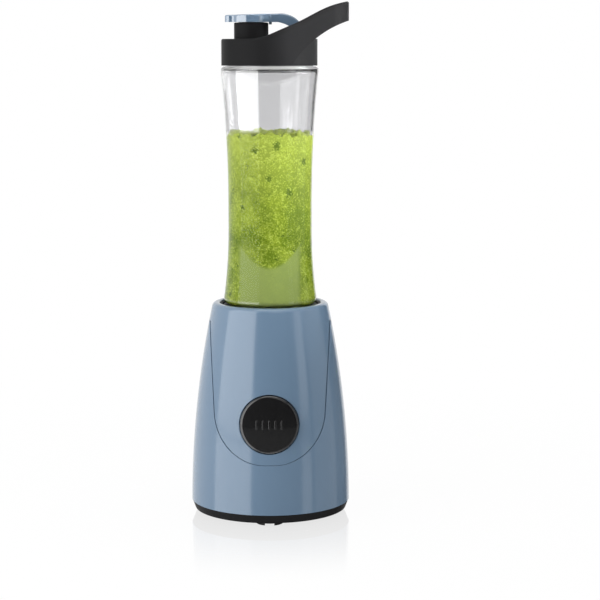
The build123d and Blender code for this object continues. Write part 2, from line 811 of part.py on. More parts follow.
# Rotor: shaft, armature, commutator, fan and the star of the drive coupling
with BuildPart() as motor_shaft:
    with BuildSketch(Plane.XY.offset(fan_z)):
        Circle(shaft_radius)
    extrude(amount=star_top - fan_z)
    chamfer(motor_shaft.edges().filter_by(GeomType.CIRCLE), edge_round)

with BuildPart() as armature_core:
    with BuildSketch(Plane.XY.offset(stack_z)):
        Circle(armature_radius)
        Circle(shaft_radius, mode=Mode.SUBTRACT)
        with PolarLocations(armature_radius, armature_slots):
            Rectangle(armature_radius - commutator_radius, armature_slot, mode=Mode.SUBTRACT)
    extrude(amount=stack_height)

winding_radius = coil_y - coil_thickness / 2 - slide_gap
with BuildPart() as armature_windings:
    for end_z, direction in ((stack_z, -1), (stack_top, 1)):
        with BuildSketch(Plane.XY.offset(end_z)):
            Circle(winding_radius)
            Circle(shaft_radius, mode=Mode.SUBTRACT)
        extrude(amount=direction * coil_end)
    fillet(
        armature_windings.edges().filter_by(GeomType.CIRCLE).filter_by(
            lambda edge: abs(edge.radius - winding_radius) < near
        ),
        winding_round,
    )

commutator_z = brush_z - commutator_length / 2
with BuildPart() as commutator:
    with BuildSketch(Plane.XY.offset(commutator_z)):
        Circle(commutator_radius)
        Circle(shaft_radius, mode=Mode.SUBTRACT)
        with PolarLocations(commutator_radius, armature_slots):
            Rectangle(2 * commutator_slot, commutator_slot, mode=Mode.SUBTRACT)
    extrude(amount=commutator_length)

with BuildPart() as cooling_fan:
    with BuildSketch(Plane.XY.offset(fan_z)):
        Circle(bearing_radius)
        with PolarLocations(0, fan_blades):
            with Locations(((fan_radius + shaft_radius) / 2, 0)):
                Rectangle(fan_radius - shaft_radius, fan_wall, rotation=fan_sweep)
        Circle(fan_radius, mode=Mode.INTERSECT)
        Circle(shaft_radius, mode=Mode.SUBTRACT)
    extrude(amount=fan_height)
    with BuildSketch(Plane.XY.offset(fan_z + fan_height - fan_wall)):
        Circle(fan_radius)
        Circle(shaft_radius, mode=Mode.SUBTRACT)
    extrude(amount=fan_wall)

with BuildPart() as drive_coupling:
    extrude(Plane.XY.offset(star_z) * star_outline(0), amount=star_height)
    with BuildSketch(Plane.XY.offset(star_z)):
        Circle(shaft_radius)
    extrude(amount=star_height, mode=Mode.SUBTRACT)
    chamfer(drive_coupling.edges().group_by(Axis.Z)[-1].filter_by(GeomType.LINE), edge_round)

# Blade unit: a cup that screws onto the bottle's neck, with the blade shaft through its floor
skirt_bore = carrier_radius - carrier_skirt_wall
with BuildPart() as blade_carrier:
    with BuildSketch(Plane.XY.offset(carrier_z)):
        Circle(carrier_radius)
    extrude(amount=carrier_top - carrier_z)
    with BuildSketch(Plane.XY.offset(carrier_cup_z)):
        Circle(neck_radius + slide_gap)
    extrude(amount=carrier_top - carrier_cup_z, mode=Mode.SUBTRACT)
    with BuildSketch(Plane.XY.offset(carrier_z)):
        Circle(skirt_bore)
    extrude(amount=carrier_floor_z - carrier_z, mode=Mode.SUBTRACT)
    with BuildSketch(Plane.XY.offset(carrier_cup_z)):
        Circle(hub_radius)
    extrude(amount=hub_height, taper=hub_taper)
    with BuildSketch(Plane.XY.offset(carrier_floor_z)):
        Circle(bush_radius)
    extrude(amount=carrier_floor + hub_height, mode=Mode.SUBTRACT)
    with BuildSketch(Plane.XY.offset(carrier_z)):
        with PolarLocations(well_radius, rib_count, screw_turn):
            Rectangle(2 * (rib_depth + slide_gap), rib_width + 2 * slide_gap)
    extrude(amount=rib_height + slide_gap, mode=Mode.SUBTRACT)

with BuildPart() as blade_bush:
    with BuildSketch(Plane.XY.offset(carrier_floor_z)):
        Circle(bush_radius)
        Circle(blade_shaft_radius + running_gap, mode=Mode.SUBTRACT)
    extrude(amount=carrier_floor + hub_height)

shaft_seal_top = hub_top + shaft_seal_height
with BuildPart() as shaft_seal:
    with BuildSketch(Plane.XY.offset(hub_top)):
        Circle(blade_shaft_radius + running_gap + shaft_seal_width)
        Circle(blade_shaft_radius + running_gap, mode=Mode.SUBTRACT)
    extrude(amount=shaft_seal_height)

low_blade_z = shaft_seal_top + seat_gap
high_blade_z = low_blade_z + blade_wall
nut_z = high_blade_z + blade_wall
lower_blade_radius = neck_bore - blade_gap


def blade_profile(flat, angle, reach, base_z):
    """Side view of a blade: a flat middle with both arms bent by an angle, up if it is positive."""
    rise = tan(radians(angle)) * (reach - flat)
    slant = blade_wall * tan(radians(angle) / 2)
    tip_x = reach - blade_wall * sin(radians(angle))
    tip_z = base_z + rise + blade_wall * cos(radians(angle))
    with BuildSketch(Plane.XZ) as side_view:
        with BuildLine():
            Polyline(
                (-reach, base_z + rise),
                (-flat, base_z),
                (flat, base_z),
                (reach, base_z + rise),
                (tip_x, tip_z),
                (flat - slant, base_z + blade_wall),
                (slant - flat, base_z + blade_wall),
                (-tip_x, tip_z),
                close=True,
            )
        make_face()
    return side_view.sketch


def blade_plan(reach):
    """Plan of a blade: a bar whose two ends are cut back on opposite corners."""
    half = blade_width / 2
    with BuildSketch() as plan:
        with BuildLine():
            Polyline(
                (-reach, -half),
                (reach - blade_cut, -half),
                (reach, half / 2),
                (reach, half),
                (blade_cut - reach, half),
                (-reach, -half / 2),
                close=True,
            )
        make_face()
        Circle(blade_shaft_radius, mode=Mode.SUBTRACT)
    return plan.sketch


with BuildPart() as upper_blade:
    extrude(
        blade_profile(upper_blade_flat, upper_blade_angle, upper_blade_radius, high_blade_z),
        amount=blade_width,
        both=True,
    )
    extrude(blade_plan(upper_blade_radius), amount=2 * bottle_top, mode=Mode.INTERSECT)

with BuildPart() as lower_blade:
    extrude(
        blade_profile(lower_blade_flat, -lower_blade_angle, lower_blade_radius, low_blade_z),
        amount=blade_width,
        both=True,
    )
    extrude(blade_plan(lower_blade_radius), amount=2 * bottle_top, mode=Mode.INTERSECT)

with BuildPart() as blade_shaft:
    with BuildSketch(Plane.XY.offset(driven_web_z)):
        Circle(blade_shaft_radius)
    extrude(amount=nut_z + nut_height / 2 - driven_web_z)

with BuildPart() as blade_nut:
    with BuildSketch(Plane.XY.offset(nut_z)):
        RegularPolygon(nut_radius, 6)
    extrude(amount=nut_height)
    fillet(blade_nut.faces().sort_by(Axis.Z)[-1].edges(), 2 * edge_round)
    with BuildSketch(Plane.XY.offset(nut_z)):
        Circle(blade_shaft_radius)
    extrude(amount=nut_height / 2, mode=Mode.SUBTRACT)

with BuildPart() as driven_coupling:
    with BuildSketch(Plane.XY.offset(driven_z)):
        Circle(star_reach + slide_gap + driven_wall)
    extrude(amount=driven_top - driven_z)
    extrude(
        Plane.XY.offset(driven_z) * star_outline(slide_gap),
        amount=driven_web_z - driven_z,
        mode=Mode.SUBTRACT,
    )
    with BuildSketch(Plane.XY.offset(driven_web_z)):
        Circle(blade_shaft_radius)
    extrude(amount=driven_web, mode=Mode.SUBTRACT)

with BuildPart() as neck_seal:
    with BuildSketch(Plane.XY.offset(carrier_cup_z)):
        Circle(neck_radius)
        Circle(neck_bore, mode=Mode.SUBTRACT)
    extrude(amount=neck_seal_height)

# Bottle: a clear wall that narrows to a waist, open at both ends, with a neck at its foot and at its mouth
foot_inside = bottle_z + bottle_wall
mouth_inside = bottle_top - bottle_wall


def flare_radius(end_radius, share):
    """Radius of a flare that leaves the waist upright, at a share of the way to its end."""
    return waist_radius + (end_radius - waist_radius) * share**2


low_share = 1 - bottle_wall / lower_flare
high_share = 1 - bottle_wall / upper_flare
waist_inside = waist_radius - bottle_wall
foot_corner = (flare_radius(bottle_foot_radius, low_share) - bottle_wall, foot_inside)
mouth_corner = (flare_radius(mouth_radius, high_share) - bottle_wall, mouth_inside)
with BuildPart() as bottle:
    with BuildSketch(Plane.XZ):
        with BuildLine():
            Polyline(
                (neck_bore, neck_z),
                (neck_radius, neck_z),
                (neck_radius, bottle_z),
                (bottle_foot_radius, bottle_z),
            )
            ThreePointArc(
                (bottle_foot_radius, bottle_z),
                (flare_radius(bottle_foot_radius, 1 / 2), waist_low - lower_flare / 2),
                (waist_radius, waist_low),
            )
            Line((waist_radius, waist_low), (waist_radius, waist_high))
            ThreePointArc(
                (waist_radius, waist_high),
                (flare_radius(mouth_radius, 1 / 2), waist_high + upper_flare / 2),
                (mouth_radius, bottle_top),
            )
            Polyline(
                (mouth_radius, bottle_top),
                (mouth_neck_radius, bottle_top),
                (mouth_neck_radius, mouth_neck_top),
                (mouth_bore, mouth_neck_top),
                (mouth_bore, mouth_inside),
                mouth_corner,
            )
            high_middle_z = waist_high + upper_flare * high_share / 2
            ThreePointArc(
                mouth_corner,
                (flare_radius(mouth_radius, high_share / 2) - bottle_wall, high_middle_z),
                (waist_inside, waist_high),
            )
            Line((waist_inside, waist_high), (waist_inside, waist_low))
            low_middle_z = waist_low - lower_flare * low_share / 2
            ThreePointArc(
                (waist_inside, waist_low),
                (flare_radius(bottle_foot_radius, low_share / 2) - bottle_wall, low_middle_z),
                foot_corner,
            )
            Polyline(foot_corner, (neck_bore, foot_inside), (neck_bore, neck_z))
        make_face()
    revolve(axis=Axis.Z)
    fillet(ring_edges(bottle, bottle_z, bottle_foot_radius), bottle_foot_round)
    fillet(ring_edges(bottle, bottle_top, mouth_radius), mouth_round)
    fillet(ring_edges(bottle, foot_inside, foot_corner[0]), bottle_wall)
    fillet(ring_edges(bottle, mouth_inside, mouth_corner[0]), bottle_wall)

# Lid: a screw cap with a drinking spout, hinge ears and a carry loop that sweeps up from its sides
loop_centre_x = loop_reach - loop_end_radius
loop_top_z = lid_top + loop_tip_rise
past_tip = loop_reach + lid_wall


def loop_outline(z, inset):
    """Plan of the lid and its carry loop: a circle drawn out to a rounded tip, inset by a wall."""
    with BuildSketch(Plane.XY.offset(z)) as outline:
        Circle(lid_radius - inset)
        with Locations((loop_centre_x, 0)):
            Circle(loop_end_radius - inset)
        make_hull()
    return outline.sketch


# Drinking spout, rounded at its lip
with BuildPart() as spout:
    with BuildSketch(Plane.XY.offset(lid_ceiling)):
        with Locations((spout_x, 0)):
            Circle(spout_radius)
    extrude(amount=lid_top_wall + spout_height)
    fillet(ring_edges(spout, spout_top, spout_radius), spout_round)

# Space under the loop's swept lower edge, beside the lid
with BuildPart() as loop_underside:
    with BuildSketch(Plane.XZ):
        with BuildLine():
            loop_low = ThreePointArc(
                (past_tip, loop_top_z - loop_tip_height),
                (loop_belly_x, lid_top + loop_belly_rise),
                (loop_low_x, lid_z),
            )
            Polyline(loop_low @ 1, (past_tip, lid_z), loop_low @ 0)
        make_face()
    extrude(amount=past_tip, both=True)
    with BuildSketch(Plane.XY.offset(lid_z)):
        Circle(lid_radius - loop_step)
    extrude(amount=loop_top_z - lid_z, mode=Mode.SUBTRACT)

# The lid itself
with BuildPart() as lid_body:
    extrude(loop_outline(lid_z, 0), amount=2 * loop_tip_rise + lid_top - lid_z)
    with BuildSketch(Plane.XZ):
        with BuildLine():
            loop_top = Spline(
                (loop_start_x, lid_top),
                (loop_root_x, lid_top + loop_root_rise),
                (loop_top_x, lid_top + loop_top_rise),
                (loop_neck_x, lid_top + loop_neck_rise),
                (past_tip, loop_top_z),
                tangents=((1, 0), (1, loop_tip_slope)),
            )
            Polyline(
                loop_top @ 1, (past_tip, lid_z), (-past_tip, lid_z), (-past_tip, lid_top), loop_top @ 0
            )
        make_face()
    extrude(amount=past_tip, both=True, mode=Mode.INTERSECT)
    fillet(
        lid_body.edges().filter_by(GeomType.LINE, reverse=True).filter_by(
            lambda edge: edge.center().Z > lid_z + lid_round and abs((edge @ 0.3).Y) > lid_round
        ),
        lid_round,
    )
    add(loop_underside.part, mode=Mode.SUBTRACT)
    extrude(loop_outline(lid_top, loop_wall), amount=2 * loop_tip_rise, mode=Mode.SUBTRACT)
    with BuildSketch(Plane.XY.offset(lid_z)):
        add(loop_outline(lid_z, loop_wall))
        Circle(lid_radius - loop_step, mode=Mode.SUBTRACT)
    extrude(amount=lid_top - lid_z, mode=Mode.SUBTRACT)
    add(spout.part)
    with BuildSketch(Plane.XZ):
        with Locations((hinge_x, hinge_z)):
            Circle(barrel_radius)
        with Locations((hinge_x, (lid_top + hinge_z) / 2)):
            Rectangle(2 * barrel_radius, hinge_rise)
    extrude(amount=strap_width / 2 + ear_gap + ear_wall, both=True)
    with BuildSketch(Plane.XZ):
        with Locations((hinge_x, lid_top + 1.5 * hinge_rise)):
            Rectangle(4 * barrel_radius, 3 * hinge_rise)
    extrude(amount=strap_width / 2 + ear_gap, both=True, mode=Mode.SUBTRACT)
    with BuildSketch(Plane.XZ):
        with Locations((hinge_x, hinge_z)):
            Circle(pin_radius + running_gap)
    extrude(amount=strap_width, both=True, mode=Mode.SUBTRACT)
    with BuildSketch(Plane.XY.offset(lid_z)):
        Circle(lid_bore)
    extrude(amount=lid_ceiling - lid_z, mode=Mode.SUBTRACT)
    with BuildSketch(Plane.XY.offset(lid_ceiling)):
        with Locations((spout_x, 0)):
            Circle(spout_radius - spout_wall)
    extrude(amount=lid_top_wall + spout_height, mode=Mode.SUBTRACT)

with BuildPart() as lid_seal:
    with BuildSketch(Plane.XY.offset(mouth_neck_top + seat_gap)):
        Circle(lid_bore - slide_gap)
        Circle(mouth_bore, mode=Mode.SUBTRACT)
    extrude(amount=lid_seal_height)

with BuildPart() as hinge_pin:
    with BuildSketch(Plane.XZ):
        with Locations((hinge_x, hinge_z)):
            Circle(pin_radius)
    extrude(amount=strap_width / 2 + ear_gap + ear_wall, both=True)

def on_disc(corner):
    """True for a corner where the cap's tab or strap meets its round disc."""
    return abs(hypot(corner.X - spout_x, corner.Y) - cap_disc_radius) < near and abs(corner.Y) > near


def on_cap_top(edge):
    """True for an edge around the cap's upper side, but not for the line where the strap starts."""
    middle = edge.center()
    return middle.Z > cap_under + cap_top_share * cap_edge and abs(middle.X - cap_bend_x) > near


# Flip cap: a round cover with a thumb tab, and a strap that bends down to the hinge barrel
with BuildPart() as spout_cap:
    with BuildSketch(Plane.XZ):
        with BuildLine():
            Polyline(
                (cap_bend_x, cap_under),
                (cap_tab_x, cap_under),
                (cap_tab_x, cap_under + cap_edge),
                (cap_bend_x, cap_under + cap_crown),
            )
            strap_out = hinge_x + barrel_radius
            strap_in = strap_out - strap_wall
            cap_top = cap_under + cap_crown
            strap_low_z = hinge_z - barrel_radius / 2
            ThreePointArc(
                (cap_bend_x, cap_top),
                (
                    cap_bend_x + strap_out_x * (strap_out - cap_bend_x),
                    cap_top - strap_out_z * (cap_top - hinge_z),
                ),
                (strap_out, hinge_z),
            )
            Line((strap_out, hinge_z), (strap_in, strap_low_z))
            ThreePointArc(
                (strap_in, strap_low_z),
                (
                    cap_bend_x + strap_in_x * (strap_in - cap_bend_x),
                    cap_under - strap_in_z * (cap_under - hinge_z),
                ),
                (cap_bend_x, cap_under),
            )
        make_face()
        with Locations((hinge_x, hinge_z)):
            Circle(barrel_radius)
    extrude(amount=cap_disc_radius, both=True)
    with BuildSketch() as cap_plan:
        with Locations((spout_x, 0)):
            Circle(cap_disc_radius)
        with Locations(((cap_tab_x + spout_x) / 2, 0)):
            RectangleRounded(spout_x - cap_tab_x, cap_tab_width, cap_tab_round)
        with Locations(((spout_x + hinge_x + barrel_radius) / 2, 0)):
            Rectangle(hinge_x + barrel_radius - spout_x, strap_width)
        fillet(cap_plan.vertices().filter_by(on_disc), cap_waist_round)
    extrude(amount=2 * spout_top, mode=Mode.INTERSECT)
    fillet(spout_cap.edges().filter_by(on_cap_top), cap_round)
    with BuildSketch(Plane.XY.offset(cap_under - nib_height)):
        with Locations((spout_x + spout_radius + slide_gap + nib_length / 2, 0)):
            Rectangle(nib_length, nib_width)
    extrude(amount=nib_height)
    with BuildSketch(Plane.XZ):
        with Locations((hinge_x, hinge_z)):
            Circle(pin_radius + running_gap)
    extrude(amount=strap_width, both=True, mode=Mode.SUBTRACT)

with BuildPart() as spout_plug:
    with BuildSketch(Plane.XY.offset(cap_under)):
        with Locations((spout_x, 0)):
            Circle(plug_radius)
    extrude(amount=-plug_depth, taper=degrees(atan(plug_taper / plug_depth)))

pieces = {
    "bottom_cover": bottom_cover,
    "rubber_feet": rubber_feet,
    "cover_screws": cover_screws,
    "inner_shell": inner_shell,
    "front_shield": front_shield,
    "outer_jacket": outer_jacket,
    "cord_gland": cord_gland,
    "jar_socket": jar_socket,
    "push_button": push_button,
    "button_spring": button_spring,
    "switch_plate": switch_plate,
    "switch_body": switch_body,
    "switch_plunger": switch_plunger,
    "stator_core": stator_core,
    "field_coils": field_coils,
    "upper_bracket": upper_bracket,
    "lower_bracket": lower_bracket,
    "upper_bearing": upper_bearing,
    "lower_bearing": lower_bearing,
    "stator_bolts": stator_bolts,
    "motor_dampers": motor_dampers,
    "motor_screws": motor_screws,
    "carbon_brushes": carbon_brushes,
    "brush_holders": brush_holders,
    "motor_shaft": motor_shaft,
    "armature_core": armature_core,
    "armature_windings": armature_windings,
    "commutator": commutator,
    "cooling_fan": cooling_fan,
    "drive_coupling": drive_coupling,
    "blade_carrier": blade_carrier,
    "blade_bush": blade_bush,
    "shaft_seal": shaft_seal,
    "blade_shaft": blade_shaft,
    "lower_blade": lower_blade,
    "upper_blade": upper_blade,
    "blade_nut": blade_nut,
    "driven_coupling": driven_coupling,
    "neck_seal": neck_seal,
    "bottle": bottle,
    "lid_body": lid_body,
    "lid_seal": lid_seal,
    "hinge_pin": hinge_pin,
    "spout_cap": spout_cap,
    "spout_plug": spout_plug,
}

os.makedirs("parts", exist_ok=True)
for name, piece in pieces.items():
    piece.part.label = name
    export_step(piece.part, f"parts/{name}.step")
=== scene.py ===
"""Looks of a personal blender: finishes for its CAD pieces, the drink in its bottle, and a studio.

Everything is in metres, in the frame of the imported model: +Z is up, the button faces -Y and the carry
loop points to +X.
"""

import logging
import math
from contextlib import contextmanager
from dataclasses import dataclass
from enum import Enum
from typing import Any, Callable, Iterator, Optional, Union

import bpy
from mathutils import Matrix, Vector


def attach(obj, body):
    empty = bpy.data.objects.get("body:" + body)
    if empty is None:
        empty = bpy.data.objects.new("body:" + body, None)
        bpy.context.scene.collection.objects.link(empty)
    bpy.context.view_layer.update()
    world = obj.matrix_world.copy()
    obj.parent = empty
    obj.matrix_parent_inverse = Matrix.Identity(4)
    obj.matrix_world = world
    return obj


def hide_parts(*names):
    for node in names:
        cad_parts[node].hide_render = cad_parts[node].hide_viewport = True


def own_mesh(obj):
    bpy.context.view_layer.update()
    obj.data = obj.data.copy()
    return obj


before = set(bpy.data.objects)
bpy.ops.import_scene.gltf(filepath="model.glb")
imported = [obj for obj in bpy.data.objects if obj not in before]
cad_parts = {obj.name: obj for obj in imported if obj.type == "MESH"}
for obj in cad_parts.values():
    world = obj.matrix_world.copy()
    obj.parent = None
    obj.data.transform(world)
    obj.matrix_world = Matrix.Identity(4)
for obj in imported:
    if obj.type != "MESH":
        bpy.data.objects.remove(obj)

LOG = logging.getLogger("blender_scene")
MM = 0.001
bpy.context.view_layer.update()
NOISE_MEAN = 0.5
WHITE = (1.0, 1.0, 1.0)
Colour = tuple[float, float, float]
Point = tuple[float, float, float]
Band = tuple[float, float]
Number = Union["Value", float]


class Light(Enum):
    """Kinds of ray that a material can tell apart."""

    CAMERA = "Is Camera Ray"
    GLOSSY = "Is Glossy Ray"
    TRANSMISSION = "Is Transmission Ray"
    SHADOW = "Is Shadow Ray"


class Axis(Enum):
    """Directions of the frame."""

    X = "X"
    Y = "Y"
    Z = "Z"


class Value:
    """A number on a surface, as a socket. Python's operators on it add Math nodes."""

    def __init__(self, graph: "Graph", socket: bpy.types.NodeSocket) -> None:
        """Keeps the socket and the graph that it belongs to."""
        self.graph = graph
        self.socket = socket

    def math(self, operation: str, *others: Number) -> "Value":
        """Adds one Math node whose first input is this value.

        Args:
            operation: name of the Math node's operation.
            others: values or numbers for its other inputs.

        Returns:
            The node's result.
        """
        sockets = dict(enumerate((self, *others)))
        made = self.graph.node("ShaderNodeMath", {"operation": operation}, sockets)
        return Value(self.graph, made.outputs[0])

    def __add__(self, other: Number) -> "Value":
        """Sum."""
        return self.math("ADD", other)

    def __mul__(self, other: Number) -> "Value":
        """Product."""
        return self.math("MULTIPLY", other)

    def __sub__(self, other: Number) -> "Value":
        """Difference."""
        return self.math("SUBTRACT", other)

    def __rsub__(self, other: float) -> "Value":
        """A number minus this value."""
        return self.math("MULTIPLY_ADD", -1.0, other)

    __radd__ = __add__
    __rmul__ = __mul__

    def size(self) -> "Value":
        """The value without its sign."""
        return self.math("ABSOLUTE")

    def band(self, low: float, high: float) -> "Value":
        """Smooth step from 0 at low to 1 at high.

        Args:
            low: value where the step starts.
            high: value where it ends.

        Returns:
            The step, between 0 and 1.
        """
        sockets = {"Value": self, "From Min": low, "From Max": high}
        made = self.graph.node("ShaderNodeMapRange", {"interpolation_type": "SMOOTHSTEP"}, sockets)
        return Value(self.graph, made.outputs[0])


class Graph:
    """Node tree of one material, or of the world."""

    def __init__(self, owner: Union[bpy.types.Material, bpy.types.World]) -> None:
        """Empties a node tree.

        Args:
            owner: the material or the world that the tree belongs to.
        """
        owner.use_nodes = True
        self.owner = owner
        self.tree = owner.node_tree
        self.tree.nodes.clear()

    @classmethod
    def of_material(cls, name: str) -> "Graph":
        """Graph of a new material of that name."""
        return cls(bpy.data.materials.new(name))

    def node(
        self,
        kind: str,
        settings: Optional[dict[str, Any]] = None,
        sockets: Optional[dict[Any, Any]] = None,
    ) -> bpy.types.Node:
        """Adds a node, sets it up and links it.

        Args:
            kind: the node's type name.
            settings: properties that are set first.
            sockets: a number, colour, Value or output socket for each input, by name or number.

        Returns:
            The new node.
        """
        made = self.tree.nodes.new(kind)
        for key, setting in (settings or {}).items():
            setattr(made, key, setting)
        for key, given in (sockets or {}).items():
            self._feed(made.inputs[key], given)
        return made

    def _feed(self, socket: bpy.types.NodeSocket, given: Any) -> None:
        """Links or sets one input.

        Args:
            socket: the input.
            given: what it gets: a number, colour, Value or output socket.
        """
        if isinstance(given, Value):
            self.tree.links.new(given.socket, socket)
        elif isinstance(given, bpy.types.NodeSocket):
            self.tree.links.new(given, socket)
        elif socket.type == "RGBA":
            socket.default_value = (*given, 1.0)
        else:
            socket.default_value = given

    def object_place(self) -> bpy.types.NodeSocket:
        """Object coordinates, in metres."""
        return self.node("ShaderNodeTexCoord").outputs["Object"]

    def place(self, stretch: Point = (1.0, 1.0, 1.0)) -> bpy.types.NodeSocket:
        """Object coordinates in metres, with each axis scaled."""
        sockets = {"Vector": self.object_place(), "Scale": stretch}
        return self.node("ShaderNodeMapping", {}, sockets).outputs[0]

    def axis(self, axis: Axis) -> Value:
        """One Object coordinate, in metres."""
        split = self.node("ShaderNodeSeparateXYZ", {}, {0: self.object_place()})
        return Value(self, split.outputs[axis.value])

    def noise(self, scale: float, detail: float, stretch: Point = (1.0, 1.0, 1.0)) -> Value:
        """Soft noise between 0 and 1.

        Args:
            scale: features per metre.
            detail: octaves of finer noise.
            stretch: scale of each axis.

        Returns:
            The noise.
        """
        sockets = {"Vector": self.place(stretch), "Scale": scale, "Detail": detail}
        return Value(self, self.node("ShaderNodeTexNoise", {}, sockets).outputs[0])

    def cells(self, scale: float) -> Value:
        """Distance from the nearest cell's middle, in a random pattern of so many cells per metre."""
        sockets = {"Vector": self.place(), "Scale": scale}
        return Value(self, self.node("ShaderNodeTexVoronoi", {}, sockets).outputs["Distance"])

    def mix(self, share: Number, first: Any, second: Any) -> bpy.types.NodeSocket:
        """Mixes two colours, given as tuples or sockets, by a share of the second."""
        made = self.node("ShaderNodeMix", {"data_type": "RGBA"}, {0: share, 6: first, 7: second})
        return made.outputs[2]

    def bump(self, height: Value, depth: float, strength: float) -> bpy.types.NodeSocket:
        """Normal from a height.

        Args:
            height: relief between 0 and 1.
            depth: its depth in metres.
            strength: share of the relief that shows.

        Returns:
            The normal.
        """
        sockets = {"Height": height, "Distance": depth, "Strength": strength}
        return self.node("ShaderNodeBump", {}, sockets).outputs[0]

    def ray(self, kind: Light) -> Value:
        """1 for rays of one kind, else 0."""
        return Value(self, self.node("ShaderNodeLightPath").outputs[kind.value])

    def surface(self, **sockets: Any) -> bpy.types.Node:
        """Principled surface. Underscores in the names stand for spaces."""
        named = {key.replace("_", " "): given for key, given in sockets.items()}
        return self.node("ShaderNodeBsdfPrincipled", {}, named)

    def mix_shaders(self, share: Value, first: bpy.types.Node, second: bpy.types.Node) -> bpy.types.Node:
        """Mixes two shaders by a share of the second."""
        sockets = {0: share, 1: first.outputs[0], 2: second.outputs[0]}
        return self.node("ShaderNodeMixShader", {}, sockets)

    def finish(self, shader: bpy.types.Node) -> bpy.types.Material:
        """Sends a shader to the output and gives the material."""
        self.node("ShaderNodeOutputMaterial", {}, {"Surface": shader.outputs[0]})
        return self.owner


@dataclass(frozen=True)
class GlossPlastic:
    """Hard gloss plastic, as moulded: even colour with a faint flow pattern and a soft ripple."""

    colour: Colour
    shade: Colour
    coat: float = 0.25
    coat_bend: float = 1.5
    coat_roughness: float = 0.06
    smoothest: float = 0.13
    flow_scale: float = 9.0
    flow_stretch: Point = (1.0, 1.0, 0.35)
    flow_band: Band = (0.25, 0.75)
    flow_roughness: float = 0.04
    speck_scale: float = 1400.0
    speck_roughness: float = 0.05
    ripple_scale: float = 160.0
    ripple_depth: float = 0.06 * MM
    ripple_share: float = 0.35

    def material(self, name: str) -> bpy.types.Material:
        """Builds the finish.

        Args:
            name: the material's name.

        Returns:
            The material.
        """
        graph = Graph.of_material(name)
        flow = graph.noise(self.flow_scale, detail=2.0, stretch=self.flow_stretch)
        speck = graph.noise(self.speck_scale, detail=1.0)
        ripple = graph.noise(self.ripple_scale, detail=2.0)
        shader = graph.surface(
            Base_Color=graph.mix(flow.band(*self.flow_band), self.colour, self.shade),
            Roughness=speck * self.speck_roughness + flow * self.flow_roughness + self.smoothest,
            Coat_Weight=self.coat,
            Coat_IOR=self.coat_bend,
            Coat_Roughness=self.coat_roughness,
            Normal=graph.bump(ripple, self.ripple_depth, self.ripple_share),
        )
        return graph.finish(shader)


@dataclass(frozen=True)
class GrainedFinish:
    """A surface with grain: moulded texture, rubber, cast or brushed metal, as its numbers say."""

    colour: Colour
    shade: Colour
    roughness: float
    spread: float = 0.1
    metallic: float = 0.0
    grain: float = 2600.0
    stretch: Point = (1.0, 1.0, 1.0)
    depth: float = 0.04 * MM
    depth_share: float = 0.6
    blotch: float = 40.0
    blotch_share: float = 0.6
    specular: float = 0.5
    coat: float = 0.0
    coat_roughness: float = 0.06

    def material(self, name: str) -> bpy.types.Material:
        """Builds the finish.

        Args:
            name: the material's name.

        Returns:
            The material, whose roughness spreads evenly around the given one.
        """
        graph = Graph.of_material(name)
        fine = graph.noise(self.grain, detail=2.0, stretch=self.stretch)
        broad = graph.noise(self.blotch, detail=3.0)
        uneven = fine * self.spread + broad * self.spread * self.blotch_share
        smoothest = self.roughness - NOISE_MEAN * (1.0 + self.blotch_share) * self.spread
        shader = graph.surface(
            Base_Color=graph.mix((fine + broad) * 0.5, self.colour, self.shade),
            Metallic=self.metallic,
            Roughness=uneven + smoothest,
            Specular_IOR_Level=self.specular,
            Coat_Weight=self.coat,
            Coat_Roughness=self.coat_roughness,
            Normal=graph.bump(fine, self.depth, self.depth_share),
        )
        return graph.finish(shader)


@dataclass(frozen=True)
class StripedFinish:
    """Stacked sheets or wound wire: fine bands along one axis, with grooves between them."""

    colour: Colour
    shade: Colour
    axis: Axis
    pitch: float
    roughness: float
    metallic: float = 0.8
    depth: float = 0.2 * MM
    depth_share: float = 0.8
    groove_band: Band = (0.0, 0.5)
    groove_roughness: float = 0.25
    wander_scale: float = 60.0
    wander_share: float = 0.5
    wander_roughness: float = 0.1

    def material(self, name: str) -> bpy.types.Material:
        """Builds the finish.

        Args:
            name: the material's name.

        Returns:
            The material.
        """
        graph = Graph.of_material(name)
        wander = graph.noise(self.wander_scale, detail=2.0)
        phase = graph.axis(self.axis) * (1.0 / self.pitch) + wander * self.wander_share
        # The wave is 0 in each groove and 1 halfway to the next one.
        wave = phase.math("PINGPONG", 0.5) * 2.0
        ridge = wave.band(*self.groove_band)
        smoothest = self.roughness - NOISE_MEAN * self.wander_roughness
        shader = graph.surface(
            Base_Color=graph.mix(ridge, self.shade, self.colour),
            Metallic=self.metallic,
            Roughness=(1.0 - ridge) * self.groove_roughness + wander * self.wander_roughness + smoothest,
            Normal=graph.bump(ridge, self.depth, self.depth_share),
        )
        return graph.finish(shader)


